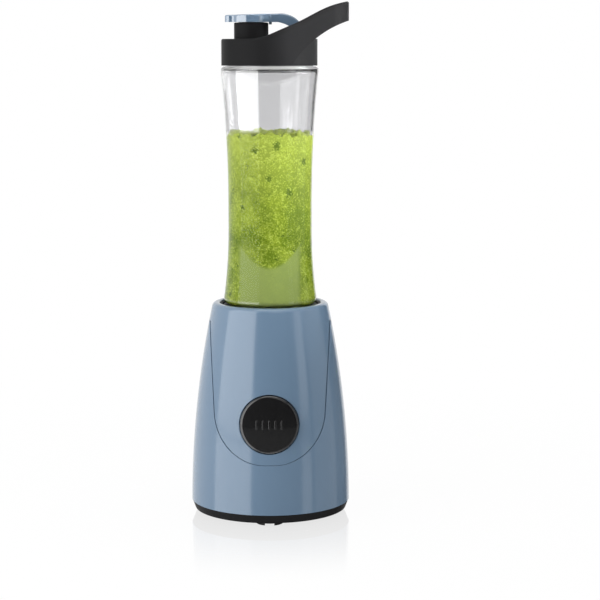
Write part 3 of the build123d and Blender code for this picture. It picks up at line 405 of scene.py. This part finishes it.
@dataclass(frozen=True)
class ClearPlastic:
    """Clear moulded plastic that bends what is behind it and lets lamps light what it holds."""

    tint: Colour = (0.785, 0.785, 0.793)
    bend: float = 1.41
    specular_tint: Colour = (0.12, 0.12, 0.12)
    coat: float = 0.95
    coat_bend: float = 1.9
    coat_roughness: float = 0.03
    haze_scale: float = 55.0
    haze_stretch: Point = (1.0, 1.0, 0.3)
    haze_band: Band = (0.55, 0.85)
    haze_roughness: float = 0.03
    wave_scale: float = 38.0
    wave_stretch: Point = (1.0, 1.0, 0.25)
    wave_depth: float = 0.2 * MM
    wave_share: float = 0.06
    seat_z: Band = (334.2 * MM, 335.6 * MM)
    seat_roughness: float = 0.4
    seat_fade: float = 0.55
    empty_z: Band = (287.6 * MM, 291.6 * MM)
    foot_z: Band = (162.5 * MM, 165.0 * MM)

    def material(self, name: str) -> bpy.types.Material:
        """Builds the finish, with the lid's seat see-through and gloss on the foot and above the drink.

        Args:
            name: the material's name.

        Returns:
            The material.
        """
        graph = Graph.of_material(name)
        haze = graph.noise(self.haze_scale, detail=3.0, stretch=self.haze_stretch)
        wave = graph.noise(self.wave_scale, detail=1.0, stretch=self.wave_stretch)
        height = graph.axis(Axis.Z)
        seat = height.band(*self.seat_z)
        empty = height.band(*self.empty_z)
        foot = 1.0 - height.band(*self.foot_z)
        wall = graph.surface(
            Base_Color=self.tint,
            Roughness=haze.band(*self.haze_band) * self.haze_roughness + seat * self.seat_roughness,
            IOR=self.bend,
            Specular_Tint=self.specular_tint,
            Alpha=1.0 - seat * self.seat_fade,
            Transmission_Weight=1.0,
            Coat_Weight=(empty + foot) * self.coat,
            Coat_IOR=self.coat_bend,
            Coat_Roughness=self.coat_roughness,
            Normal=graph.bump(wave, self.wave_depth, self.wave_share),
        )
        open_air = graph.node("ShaderNodeBsdfTransparent", {}, {"Color": self.tint})
        return graph.finish(graph.mix_shaders(graph.ray(Light.SHADOW), wall, open_air))


@dataclass(frozen=True)
class BlendedDrink:
    """Thick green drink: mottled pulp with pale froth, small bubbles and dark flecks of leaf, and a painted
    pale reflection low in the bottle.

    Scales are in features per metre, bands say where a pattern starts and is full, and shares say how
    much of it shows.
    """

    pulp: Colour = (0.250, 0.340, 0.021)
    deep: Colour = (0.122, 0.195, 0.009)
    froth: Colour = (0.66, 0.76, 0.15)
    fleck: Colour = (0.040, 0.090, 0.008)
    # Paler, greyer green of a painted reflection low in the drink, not a layer of the drink itself.
    painted_reflection: Colour = (0.295, 0.372, 0.108)
    roughness: float = 0.28
    mottle_roughness: float = 0.2
    specular: float = 0.1
    depth: float = 0.6 * MM
    depth_share: float = 0.6
    mottle_relief: float = 0.5
    bubble_relief: float = 0.3
    ring_relief: float = 0.2
    cloud_scale: float = 60.0
    cloud_share: float = 0.35
    lump_scale: float = 150.0
    lump_share: float = 0.2
    mottle_scale: float = 820.0
    mottle_share: float = 0.45
    pulp_band: Band = (0.42, 0.58)
    patch_scale: float = 34.0
    patch_band: Band = (0.52, 0.72)
    patch_share: float = 0.2
    speckle_band: Band = (0.54, 0.70)
    speckle_share: float = 0.45
    strand_scale: float = 240.0
    strand_band: Band = (0.0, 0.05)
    strand_patches: Band = (0.4, 0.6)
    strand_share: float = 0.3
    head_z: Band = (205.0 * MM, 295.0 * MM)
    head_share: float = 0.38
    bubble_scale: float = 700.0
    bubble_band: Band = (0.14, 0.30)
    bubble_patches: Band = (0.44, 0.58)
    ring_scale: float = 260.0
    ring_radius: float = 0.24
    ring_band: Band = (0.02, 0.09)
    ring_patches: Band = (0.50, 0.60)
    bubble_share: float = 0.4
    leaf_scale: float = 70.0
    leaf_fray: float = 0.5
    leaf_drift: float = 0.6
    leaf_band: Band = (0.07, 0.20)
    leaf_share: float = 0.75
    crumb_scale: float = 210.0
    crumb_fray: float = 0.9
    crumb_band: Band = (0.02, 0.16)
    crumb_patch_scale: float = 40.0
    crumb_patches: Band = (0.46, 0.60)
    crumb_share: float = 0.5
    # Where the painted reflection lies: under a curve in X that rises to both sides, within a half-width.
    reflection_z: float = 191.0 * MM
    reflection_rise: float = 20.0 * MM
    reflection_half: float = 24.0 * MM
    reflection_edge: float = 4.0 * MM
    reflection_sides: Band = (0.80, 1.02)
    reflection_share: float = 0.9

    def painted_reflection_part(self, graph: Graph) -> Value:
        """Share of the painted pale reflection, low in the bottle under a curve that rises to both sides.

        Args:
            graph: the material's graph.

        Returns:
            The share, which is 0 where no painted reflection lies.
        """
        across = graph.axis(Axis.X) * (1.0 / self.reflection_half)
        below = across * across * self.reflection_rise + self.reflection_z - graph.axis(Axis.Z)
        inside = 1.0 - across.size().band(*self.reflection_sides)
        return below.band(0.0, self.reflection_edge) * inside * self.reflection_share

    def pale_part(self, graph: Graph, lumps: Value, mottle: Value) -> Value:
        """Share of froth in the pulp: patches, specks, strands, and more of it towards the top.

        Args:
            graph: the material's graph.
            lumps: the noise that breaks up the strands.
            mottle: the noise of the specks.

        Returns:
            The share.
        """
        patches = graph.noise(self.patch_scale, detail=4.0).band(*self.patch_band)
        thread = (graph.noise(self.strand_scale, detail=3.0) - NOISE_MEAN).size()
        strands = (1.0 - thread.band(*self.strand_band)) * lumps.band(*self.strand_patches)
        specks = mottle.band(*self.speckle_band)
        head = graph.axis(Axis.Z).band(*self.head_z) * self.head_share
        return patches * self.patch_share + specks * self.speckle_share + strands * self.strand_share + head

    def material(self, name: str) -> bpy.types.Material:
        """Builds the finish.

        Args:
            name: the material's name.

        Returns:
            The material.
        """
        graph = Graph.of_material(name)
        clouds = graph.noise(self.cloud_scale, detail=5.0)
        lumps = graph.noise(self.lump_scale, detail=4.0)
        mottle = graph.noise(self.mottle_scale, detail=6.0)
        # Share of the painted reflection; froth, bubbles and flecks are left out where it lies.
        painted_reflection = self.painted_reflection_part(graph)
        outside_reflection = 1.0 - painted_reflection
        thick = clouds * self.cloud_share + lumps * self.lump_share + mottle * self.mottle_share
        colour = graph.mix(thick.band(*self.pulp_band), self.deep, self.pulp)
        # Painted reflection: a paler, greyer veil low in the drink.
        colour = graph.mix(painted_reflection, colour, self.painted_reflection)
        colour = graph.mix(self.pale_part(graph, lumps, mottle) * outside_reflection, colour, self.froth)

        bubble = 1.0 - graph.cells(self.bubble_scale).band(*self.bubble_band)
        bubbles = bubble * mottle.band(*self.bubble_patches)
        ring = 1.0 - (graph.cells(self.ring_scale) - self.ring_radius).size().band(*self.ring_band)
        rings = ring * clouds.band(*self.ring_patches)
        colour = graph.mix((bubbles + rings) * outside_reflection * self.bubble_share, colour, self.froth)

        ragged = mottle - NOISE_MEAN
        drift = (clouds - NOISE_MEAN) * self.leaf_drift
        leaf = graph.cells(self.leaf_scale) + ragged * self.leaf_fray + drift
        leaves = 1.0 - leaf.band(*self.leaf_band)
        colour = graph.mix(leaves * outside_reflection * self.leaf_share, colour, self.fleck)
        crumb = graph.cells(self.crumb_scale) + ragged * self.crumb_fray
        crumb_patches = graph.noise(self.crumb_patch_scale, detail=2.0).band(*self.crumb_patches)
        crumbs = (1.0 - crumb.band(*self.crumb_band)) * crumb_patches
        colour = graph.mix(crumbs * outside_reflection * self.crumb_share, colour, self.fleck)

        relief = mottle * self.mottle_relief + bubbles * self.bubble_relief + rings * self.ring_relief
        shader = graph.surface(
            Base_Color=colour,
            Roughness=mottle * self.mottle_roughness + self.roughness,
            Specular_IOR_Level=self.specular,
            Normal=graph.bump(relief, self.depth, self.depth_share),
        )
        return graph.finish(shader)


@dataclass(frozen=True)
class StudioFloor:
    """White glossy table, with a soft shadow and a reflection that fades away from the base."""

    white: Colour = (0.92, 0.92, 0.92)
    roughness: float = 0.9
    shown: float = 0.965
    shown_reach: Band = (0.2, 0.6)
    covered_reach: Band = (0.030, 0.045)
    gloss: Colour = (0.97, 0.97, 0.97)
    gloss_roughness: float = 0.04
    gloss_share: float = 0.85
    mirror: float = 0.20
    mirror_reach: Band = (0.050, 0.205)

    def material(self, name: str) -> bpy.types.Material:
        """Builds the finish: white to the camera, but plain under the base, and mirror-like near it.

        Args:
            name: the material's name.

        Returns:
            The material.
        """
        graph = Graph.of_material(name)
        lit = graph.surface(Base_Color=self.white, Roughness=self.roughness)
        plain = graph.node("ShaderNodeEmission", {}, {"Color": WHITE, "Strength": 1.0})
        gloss_sockets = {"Color": self.gloss, "Roughness": self.gloss_roughness}
        gloss = graph.node("ShaderNodeBsdfGlossy", {}, gloss_sockets)
        across = graph.axis(Axis.X)
        along = graph.axis(Axis.Y)
        reach = (across * across + along * along).math("SQRT")
        direct = graph.ray(Light.CAMERA).math("MAXIMUM", graph.ray(Light.TRANSMISSION))
        level = reach.band(*self.shown_reach) * (1.0 - self.shown) + self.shown
        seen = direct * reach.band(*self.covered_reach) * level
        top = graph.mix_shaders(graph.ray(Light.GLOSSY) * self.gloss_share, lit, gloss)
        fade = (1.0 - reach.band(*self.mirror_reach)) * self.mirror
        return graph.finish(graph.mix_shaders(fade, graph.mix_shaders(seen, top, plain), gloss))


class Finish(Enum):
    """Finishes of the blender's pieces and of the studio."""

    BLUE = GlossPlastic((0.134, 0.204, 0.292), (0.116, 0.182, 0.264))
    CAP_BLUE = GlossPlastic((0.128, 0.195, 0.280), (0.112, 0.176, 0.254), coat=1.0, coat_bend=2.0)
    BLACK = GrainedFinish(
        (0.012, 0.012, 0.0125), (0.0175, 0.0175, 0.0184), 0.44, depth=0.03 * MM, specular=0.03
    )
    BUTTON = GrainedFinish(
        (0.006, 0.006, 0.0063), (0.009, 0.009, 0.0094), 0.26, 0.06, depth=0.02 * MM, specular=0.2, coat=1.0
    )
    CLEAR = ClearPlastic()
    RUBBER = GrainedFinish(
        (0.020, 0.020, 0.021), (0.034, 0.034, 0.035), 0.74, 0.12, grain=1500.0, depth=0.06 * MM
    )
    SILICONE = GrainedFinish(
        (0.62, 0.63, 0.63), (0.52, 0.53, 0.54), 0.48, grain=900.0, depth=0.03 * MM
    )
    BLADE_STEEL = GrainedFinish(
        (0.62, 0.63, 0.64), (0.50, 0.51, 0.52), 0.24, 0.16, 1.0, 900.0, (1.0, 14.0, 14.0), 0.02 * MM
    )
    SHAFT_STEEL = GrainedFinish(
        (0.60, 0.61, 0.62), (0.47, 0.48, 0.49), 0.25, 0.14, 1.0, 700.0, (1.0, 1.0, 12.0), 0.02 * MM
    )
    PLATED = GrainedFinish((0.55, 0.56, 0.57), (0.42, 0.43, 0.44), 0.32, 0.14, 1.0, 1300.0)
    IRON = StripedFinish((0.21, 0.21, 0.22), (0.10, 0.09, 0.09), Axis.Z, 0.9 * MM, 0.42)
    COPPER = StripedFinish((0.66, 0.26, 0.10), (0.24, 0.075, 0.03), Axis.Z, 0.8 * MM, 0.30, 0.9)
    COMMUTATOR = GrainedFinish(
        (0.70, 0.33, 0.17), (0.52, 0.22, 0.11), 0.26, 0.14, 1.0, 800.0, (1.0, 1.0, 10.0)
    )
    BRONZE = GrainedFinish((0.50, 0.33, 0.14), (0.38, 0.24, 0.10), 0.38, 0.16, 1.0, 3200.0)
    ALLOY = GrainedFinish((0.52, 0.53, 0.55), (0.42, 0.43, 0.45), 0.46, 0.2, 1.0, 1900.0, depth=0.1 * MM)
    GREY = GrainedFinish((0.080, 0.085, 0.090), (0.10, 0.105, 0.11), 0.46)
    NYLON = GrainedFinish((0.66, 0.65, 0.61), (0.58, 0.57, 0.54), 0.42, grain=1700.0)
    CARBON = GrainedFinish((0.022, 0.022, 0.024), (0.045, 0.045, 0.048), 0.5, 0.2, grain=3800.0)
    DRINK = BlendedDrink()
    FLOOR = StudioFloor()
    FLAG = GrainedFinish((0.020, 0.020, 0.020), (0.030, 0.030, 0.030), 0.9, 0.05, specular=0.0)

    def made(self) -> bpy.types.Material:
        """The finish's material, built when it is first asked for."""
        name = self.name.lower()
        return bpy.data.materials.get(name) or self.value.material(name)


class Shop:
    """Modelling steps shared by the pieces that are new here."""

    @staticmethod
    def clear_selection() -> None:
        """Leaves edit mode and deselects every object."""
        if bpy.context.object and bpy.context.object.mode != "OBJECT":
            bpy.ops.object.mode_set(mode="OBJECT")
        bpy.ops.object.select_all(action="DESELECT")

    @staticmethod
    def select_alone(piece: bpy.types.Object) -> None:
        """Selects one object and makes it the active one.

        Args:
            piece: the object.
        """
        Shop.clear_selection()
        piece.select_set(True)
        bpy.context.view_layer.objects.active = piece

    @staticmethod
    @contextmanager
    def editing(piece: bpy.types.Object) -> Iterator[None]:
        """Edit mode with all of an object selected, and object mode afterwards.

        Args:
            piece: the object that is edited.

        Yields:
            Nothing, while edit mode lasts.
        """
        Shop.select_alone(piece)
        bpy.ops.object.mode_set(mode="EDIT")
        bpy.ops.mesh.select_all(action="SELECT")
        yield
        bpy.ops.object.mode_set(mode="OBJECT")

    @staticmethod
    def pick(piece: bpy.types.Object, test: Callable[[Vector], bool]) -> None:
        """Enters edit mode with only the vertices selected whose place passes a test.

        Args:
            piece: the object that is edited.
            test: says for a vertex's place whether it is picked.
        """
        with Shop.editing(piece):
            bpy.ops.mesh.select_all(action="DESELECT")
        for vertex in piece.data.vertices:
            vertex.select = test(vertex.co)
        bpy.ops.object.mode_set(mode="EDIT")

    @staticmethod
    def dress(piece: bpy.types.Object, finish: Finish) -> None:
        """Gives an object one finish."""
        piece.data.materials.clear()
        piece.data.materials.append(finish.made())

    @staticmethod
    def apply_modifiers(piece: bpy.types.Object) -> None:
        """Applies an object's modifiers in order.

        Args:
            piece: the object.
        """
        Shop.select_alone(piece)
        for modifier in list(piece.modifiers):
            bpy.ops.object.modifier_apply(modifier=modifier.name)

    @staticmethod
    def settle(piece: bpy.types.Object) -> None:
        """Moves an object's place, turn and size into its mesh."""
        Shop.select_alone(piece)
        bpy.ops.object.transform_apply(location=True, rotation=True, scale=True)

    @staticmethod
    def smooth(piece: bpy.types.Object, angle: float) -> None:
        """Shades an object smooth, apart from edges sharper than an angle."""
        Shop.select_alone(piece)
        bpy.ops.object.shade_smooth_by_angle(angle=angle)

    @staticmethod
    def ring_stack(name: str, rings: list[tuple[float, float]], sides: int) -> bpy.types.Object:
        """Turns a circle into a lathed skin by extruding it from ring to ring.

        Args:
            name: the new object's name.
            rings: radius and height of each ring, in metres.
            sides: number of sides.

        Returns:
            The open skin, with its place in its mesh and no thickness.
        """
        Shop.clear_selection()
        radius, height = rings[0]
        bpy.ops.mesh.primitive_circle_add(vertices=sides, radius=radius, location=(0.0, 0.0, height))
        piece = bpy.context.object
        piece.name = name
        Shop.settle(piece)
        with Shop.editing(piece):
            for wide, high in rings[1:]:
                rise = (0.0, 0.0, high - height)
                bpy.ops.mesh.extrude_region_move(TRANSFORM_OT_translate={"value": rise})
                share = wide / radius
                bpy.ops.transform.resize(value=(share, share, 1.0), center_override=(0.0, 0.0, high))
                radius, height = wide, high
        return piece


@dataclass
class CadGroup:
    """CAD pieces that take one finish each."""

    finishes: dict[Finish, tuple[str, ...]]

    def dress(self) -> None:
        """Gives every listed node its finish."""
        for finish, nodes in self.finishes.items():
            for node in nodes:
                Shop.dress(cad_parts[node], finish)
                LOG.info("dressed %s as %s", node, finish.name.lower())


@dataclass
class MotorBase:
    """The base: housing, socket, switch and motor."""

    def build(self) -> None:
        """Dresses the base's pieces."""
        CadGroup(
            {
                Finish.BLUE: ("front_shield", "outer_jacket", "inner_shell"),
                Finish.BLACK: ("bottom_cover", "jar_socket"),
                Finish.GREY: ("switch_plate", "switch_body", "brush_holders", "cooling_fan"),
                Finish.RUBBER: ("rubber_feet", "cord_gland", "motor_dampers"),
                Finish.PLATED: ("cover_screws", "motor_screws", "stator_bolts"),
                Finish.IRON: ("stator_core", "armature_core"),
                Finish.COPPER: ("field_coils", "armature_windings"),
                Finish.COMMUTATOR: ("commutator",),
                Finish.BRONZE: ("upper_bearing", "lower_bearing"),
                Finish.ALLOY: ("upper_bracket", "lower_bracket"),
                Finish.CARBON: ("carbon_brushes",),
                Finish.SHAFT_STEEL: ("motor_shaft",),
                Finish.NYLON: ("drive_coupling", "switch_plunger"),
                Finish.BUTTON: ("push_button",),
            }
        ).dress()


@dataclass(frozen=True)
class ButtonSeat:
    """Where the push button sits in the front panel, and which way it faces."""

    origin: Point = (0.0, -56.434 * MM, 76.7 * MM)
    tilt: float = math.radians(5.634)

    def outward(self) -> Vector:
        """Direction out of the panel along the button's axis."""
        return Vector((0.0, -math.cos(self.tilt), math.sin(self.tilt)))

    def mount(self, piece: bpy.types.Object) -> None:
        """Turns a piece made around +Z to face out of the panel, and puts its place into its mesh.

        Args:
            piece: the object.
        """
        piece.rotation_euler = (math.pi / 2 - self.tilt, 0.0, 0.0)
        piece.location = self.origin
        Shop.settle(piece)


@dataclass
class ReturnSpring:
    """Wire spring behind the push button, built at one length; nothing here shortens it."""

    seat: ButtonSeat = ButtonSeat()
    radius: float = 10.0 * MM
    wire: float = 0.5 * MM
    turns: int = 5
    length: float = 14.9 * MM
    start: float = -17.1 * MM
    travel: float = 3.0 * MM
    sides: int = 10
    steps: int = 40
    smooth_angle: float = math.radians(50.0)

    def build(self) -> bpy.types.Object:
        """Winds the wire's section into a spring in place of the CAD one.

        Returns:
            The finished spring.
        """
        Shop.clear_selection()
        bpy.ops.mesh.primitive_circle_add(vertices=self.sides, radius=self.wire)
        spring = bpy.context.object
        spring.name = "return_spring"
        spring.rotation_euler = (math.pi / 2, 0.0, 0.0)
        spring.location = (self.radius, 0.0, 0.0)
        Shop.settle(spring)
        winding = spring.modifiers.new("winding", "SCREW")
        winding.axis = Axis.Z.value
        winding.screw_offset = self.length / self.turns
        winding.iterations = self.turns
        winding.steps = winding.render_steps = self.steps
        Shop.apply_modifiers(spring)
        spring.location = (0.0, 0.0, self.start)
        Shop.settle(spring)
        with Shop.editing(spring):
            bpy.ops.mesh.fill_holes(sides=self.sides)
            bpy.ops.mesh.select_all(action="SELECT")
            bpy.ops.mesh.normals_make_consistent(inside=False)
        self.seat.mount(spring)
        Shop.smooth(spring, self.smooth_angle)
        Shop.dress(spring, Finish.PLATED)
        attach(spring, "base")
        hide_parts("button_spring")
        outward = self.seat.outward()
        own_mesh(spring)
        LOG.info("built %s", spring.name)
        return spring


@dataclass
class ButtonMark:
    """Row of raised bars on the push button, which a thumb can feel."""

    seat: ButtonSeat = ButtonSeat()
    count: int = 5
    pitch: float = 4.6 * MM
    length: float = 6.4 * MM
    width: float = 1.5 * MM
    height: float = 0.9 * MM
    sunk_share: float = 0.2
    round_edge: float = 0.32 * MM
    round_steps: int = 3
    crown: float = 2.0 * MM
    dome: float = 1.6 * MM
    face_radius: float = 21.6 * MM
    smooth_angle: float = math.radians(40.0)

    def model_bar(self) -> bpy.types.Object:
        """Models one bar around the origin.

        Returns:
            The bar.
        """
        Shop.clear_selection()
        bpy.ops.mesh.primitive_cube_add(size=1.0)
        bar = bpy.context.object
        bar.scale = (self.width, self.length, self.height)
        Shop.settle(bar)
        with Shop.editing(bar):
            bpy.ops.mesh.bevel(offset=self.round_edge, segments=self.round_steps, affect="EDGES")
        return bar

    def build(self) -> bpy.types.Object:
        """Copies one bar along the row and sets the row on the button's domed face.

        Returns:
            The finished row of bars.
        """
        row = self.model_bar()
        row.name = "button_mark"
        bars = [row]
        for _ in range(self.count - 1):
            bar = row.copy()
            bar.data = row.data.copy()
            bpy.context.collection.objects.link(bar)
            bars.append(bar)
        Shop.select_alone(row)
        for index, bar in enumerate(bars):
            across = (index - (self.count - 1) / 2) * self.pitch
            fall = self.dome * (across / self.face_radius) ** 2
            bar.location = (across, 0.0, self.crown - fall - self.sunk_share * self.height)
            bar.select_set(True)
        bpy.ops.object.join()
        Shop.settle(row)
        self.seat.mount(row)
        Shop.smooth(row, self.smooth_angle)
        Shop.dress(row, Finish.BUTTON)
        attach(row, "button")
        LOG.info("built %s", row.name)
        return row


@dataclass
class BladeUnit:
    """The screw-on blade unit under the bottle."""

    def build(self) -> None:
        """Dresses the unit's pieces."""
        CadGroup(
            {
                Finish.BLACK: ("blade_carrier",),
                Finish.BRONZE: ("blade_bush",),
                Finish.SILICONE: ("shaft_seal", "neck_seal"),
                Finish.SHAFT_STEEL: ("blade_shaft", "blade_nut"),
                Finish.BLADE_STEEL: ("lower_blade", "upper_blade"),
                Finish.NYLON: ("driven_coupling",),
            }
        ).dress()


@dataclass
class Bottle:
    """The clear bottle and the drink that fills most of it.

    The drink is a thick skin that reaches a little way into the wall, so that no air shows between them.
    """

    waist: float = 31.3 * MM
    foot: float = 35.5 * MM
    mouth: float = 36.9 * MM
    wall: float = 2.2 * MM
    foot_z: float = 159.2 * MM
    waist_low: float = 216.0 * MM
    waist_high: float = 236.0 * MM
    top_z: float = 336.9 * MM
    neck_bore: float = 27.4 * MM
    overlap: float = 0.1 * MM
    fill_z: float = 286.6 * MM
    skin: float = 2.4 * MM
    sides: int = 144
    levels: int = 44
    corner_steps: int = 5
    edge_rings: tuple[tuple[float, float], ...] = ((0.985, 0.5 * MM), (0.96, 0.8 * MM), (0.92, 0.9 * MM))
    top_steps: int = 21
    top_step: float = 0.0405
    middle_share: float = 0.08
    froth_size: float = 6.0 * MM
    froth_detail: int = 3
    froth_height: float = 11.0 * MM
    froth_margin: float = 0.1 * MM
    smooth_angle: float = math.radians(50.0)

    def inner_radius(self, height: float) -> float:
        """Inside radius of the bottle, which flares from its waist by a parabola to both ends.

        Args:
            height: height above the table.

        Returns:
            The radius.
        """
        if height < self.waist_low:
            share = (self.waist_low - height) / (self.waist_low - self.foot_z)
            outer = self.waist + (self.foot - self.waist) * share**2
        else:
            share = max(0.0, height - self.waist_high) / (self.top_z - self.waist_high)
            outer = self.waist + (self.mouth - self.waist) * share**2
        return outer - self.wall

    def rings(self) -> list[tuple[float, float]]:
        """Rings of the drink's skin, from its floor's inner edge up the wall and in over its top.

        Returns:
            Radius and height of each ring.
        """
        low = self.foot_z + self.wall - self.overlap
        corner = self.wall + self.overlap
        start = low + corner
        middle = self.inner_radius(start) + self.overlap - corner
        path = [(self.neck_bore, low), (middle, low)]
        for step in range(1, self.corner_steps + 1):
            turn = math.radians(90.0 * step / self.corner_steps)
            path.append((middle + corner * math.sin(turn), start - corner * math.cos(turn)))
        for level in range(1, self.levels + 1):
            height = start + (self.fill_z - start) * level / self.levels
            path.append((self.inner_radius(height) + self.overlap, height))
        edge = path[-1][0]
        path += [(edge * share, self.fill_z + rise) for share, rise in self.edge_rings]
        share, rise = self.edge_rings[-1]
        for step in range(1, self.top_steps + 1):
            path.append((edge * (share - self.top_step * step), self.fill_z + rise))
        return path

    def froth_up(self, drink: bpy.types.Object) -> None:
        """Gives the drink a lumpy top and a thick skin.

        Args:
            drink: the drink's thin skin.
        """
        top = drink.vertex_groups.new(name="top")
        lowest = self.fill_z - self.froth_margin
        top.add([point.index for point in drink.data.vertices if point.co.z > lowest], 1.0, "REPLACE")
        froth = bpy.data.textures.new("froth", "CLOUDS")
        froth.noise_scale = self.froth_size
        froth.noise_depth = self.froth_detail
        swell = drink.modifiers.new("swell", "DISPLACE")
        swell.texture = froth
        swell.texture_coords = "LOCAL"
        swell.direction = Axis.Z.value
        swell.vertex_group = top.name
        swell.mid_level = NOISE_MEAN
        swell.strength = self.froth_height
        thick = drink.modifiers.new("thick", "SOLIDIFY")
        thick.thickness = self.skin
        thick.offset = -1.0
        Shop.apply_modifiers(drink)
        drink.vertex_groups.clear()

    def build(self) -> bpy.types.Object:
        """Dresses the bottle and builds the drink in it.

        Returns:
            The drink.
        """
        CadGroup({Finish.CLEAR: ("bottle",)}).dress()
        drink = Shop.ring_stack("drink", self.rings(), self.sides)
        middle = self.middle_share * self.waist
        Shop.pick(drink, lambda place: place.z > self.fill_z and place.xy.length < middle)
        bpy.ops.mesh.merge(type="CENTER")
        with Shop.editing(drink):
            bpy.ops.mesh.normals_make_consistent(inside=False)
        self.froth_up(drink)
        Shop.smooth(drink, self.smooth_angle)
        Shop.dress(drink, Finish.DRINK)
        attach(drink, "jar")
        LOG.info("built %s with %d faces", drink.name, len(drink.data.polygons))
        return drink


@dataclass
class DrinkingLid:
    """The lid with its loop, flip cap and seals."""

    def build(self) -> None:
        """Dresses the lid's pieces."""
        CadGroup(
            {
                Finish.BLACK: ("lid_body",),
                Finish.CAP_BLUE: ("spout_cap",),
                Finish.SILICONE: ("lid_seal", "spout_plug"),
                Finish.SHAFT_STEEL: ("hinge_pin",),
            }
        ).dress()


@dataclass(frozen=True)
class SoftBox:
    """One rectangular studio lamp, with its place and aim in metres."""

    name: str
    place: Point
    aim: Point
    width: float
    height: float
    radiance: float
    spread: float = math.pi
    reflected: bool = True

    def build(self) -> None:
        """Adds the lamp, facing its aim and unseen by the camera."""
        lamp = bpy.data.lights.new(self.name, "AREA")
        lamp.shape = "RECTANGLE"
        lamp.size = self.width
        lamp.size_y = self.height
        lamp.spread = self.spread
        lamp.energy = self.radiance * math.pi * self.width * self.height
        stand = bpy.data.objects.new(self.name, lamp)
        bpy.context.scene.collection.objects.link(stand)
        stand.location = self.place
        facing = Vector(self.aim) - Vector(self.place)
        stand.rotation_euler = facing.to_track_quat("-Z", "Y").to_euler()
        stand.visible_camera = False
        stand.visible_glossy = self.reflected


@dataclass
class Studio:
    """Floor, lamps, white surroundings and the camera."""

    sensor_width: float = 36.0
    focal_pixels: float = 1882.0
    picture_pixels: float = 600.0
    camera_place: Point = (0.0225, -1.4106, 0.3526)
    camera_pitch: float = math.radians(7.716)
    floor_radius: float = 6.0
    round_sides: int = 96
    ambient: float = 0.56
    flag_radius: float = 2.4
    flag_low: float = -0.5
    flag_height: float = 3.5
    flag_left: float = math.radians(-27.0)
    flag_right: float = math.radians(150.0)
    lamps: tuple[SoftBox, ...] = (
        SoftBox("key", (-0.871, -0.576, 0.68), (0.0, 0.0, 0.68), width=1.18, height=1.34, radiance=2.3),
        SoftBox("fill", (1.2, -0.85, 0.75), (0.0, 0.0, 0.6), width=0.40, height=1.4, radiance=1.25),
        SoftBox("front", (0.45, -1.75, 1.25), (0.0, 0.0, 0.28), width=0.9, height=0.5, radiance=1.6),
        SoftBox("side", (1.3, 0.0, 0.7), (0.0, 0.0, 0.5), width=1.1, height=1.4, radiance=0.5),
        SoftBox("top", (0.0, -0.2, 1.7), (0.0, 0.0, 0.2), width=1.0, height=1.0, radiance=1.6),
        SoftBox(
            "near",
            (0.46, -0.04, 0.40),
            (0.0, 0.0, 0.37),
            width=0.30,
            height=0.22,
            radiance=4.8,
            spread=math.radians(46.0),
            reflected=False,
        ),
    )

    def build_camera(self) -> None:
        """Adds the camera at the photograph's viewpoint."""
        lens = bpy.data.cameras.new("camera")
        lens.sensor_width = self.sensor_width
        lens.lens = self.sensor_width * self.focal_pixels / self.picture_pixels
        camera = bpy.data.objects.new("camera", lens)
        bpy.context.scene.collection.objects.link(camera)
        camera.location = self.camera_place
        camera.rotation_euler = (math.pi / 2 - self.camera_pitch, 0.0, 0.0)
        bpy.context.scene.camera = camera
        bpy.context.scene.view_settings.view_transform = "Standard"

    def build_floor(self) -> None:
        """Adds the table as a wide disc."""
        Shop.clear_selection()
        bpy.ops.mesh.primitive_circle_add(
            vertices=self.round_sides, radius=self.floor_radius, fill_type="NGON"
        )
        floor = bpy.context.object
        floor.name = "studio_floor"
        with Shop.editing(floor):
            bpy.ops.mesh.inset(thickness=self.floor_radius / 2)
        Shop.dress(floor, Finish.FLOOR)

    def build_world(self) -> None:
        """White to the camera, in reflections and through clear plastic, and soft grey as light."""
        world = bpy.data.worlds.new("studio")
        bpy.context.scene.world = world
        graph = Graph(world)
        seen = graph.ray(Light.CAMERA)
        for kind in (Light.GLOSSY, Light.TRANSMISSION):
            seen = seen.math("MAXIMUM", graph.ray(kind))
        soft = graph.node("ShaderNodeBackground", {}, {"Color": WHITE, "Strength": self.ambient})
        plain = graph.node("ShaderNodeBackground", {}, {"Color": WHITE, "Strength": 1.0})
        shown = graph.mix_shaders(seen, soft, plain)
        graph.node("ShaderNodeOutputWorld", {}, {"Surface": shown.outputs[0]})

    def in_flag_gap(self, place: Vector) -> bool:
        """Whether a place lies where the dark screen leaves the round open, behind and at the left."""
        azimuth = math.atan2(place.x, -place.y) % (2 * math.pi)
        return self.flag_right < azimuth < 2 * math.pi + self.flag_left

    def build_flag(self) -> None:
        """Adds a dark curved screen around the front and the right, which only reflections see."""
        Shop.clear_selection()
        bpy.ops.mesh.primitive_circle_add(
            vertices=self.round_sides, radius=self.flag_radius, location=(0.0, 0.0, self.flag_low)
        )
        flag = bpy.context.object
        flag.name = "studio_flag"
        Shop.settle(flag)
        Shop.pick(flag, self.in_flag_gap)
        bpy.ops.mesh.delete(type="VERT")
        with Shop.editing(flag):
            rise = (0.0, 0.0, self.flag_height)
            bpy.ops.mesh.extrude_region_move(TRANSFORM_OT_translate={"value": rise})
        Shop.dress(flag, Finish.FLAG)
        flag.visible_camera = False
        flag.visible_diffuse = False
        flag.visible_transmission = False
        flag.visible_shadow = False

    def build(self) -> None:
        """Builds the whole studio: a tall key lamp at the left, and weaker ones around it."""
        self.build_camera()
        self.build_floor()
        self.build_world()
        self.build_flag()
        for lamp in self.lamps:
            lamp.build()


def main() -> None:
    """Builds the studio and dresses each sub-assembly in turn."""
    logging.basicConfig(level=logging.INFO, format="%(message)s")
    Studio().build()
    MotorBase().build()
    ReturnSpring().build()
    ButtonMark().build()
    BladeUnit().build()
    Bottle().build()
    DrinkingLid().build()


if __name__ == "__main__":
    main()
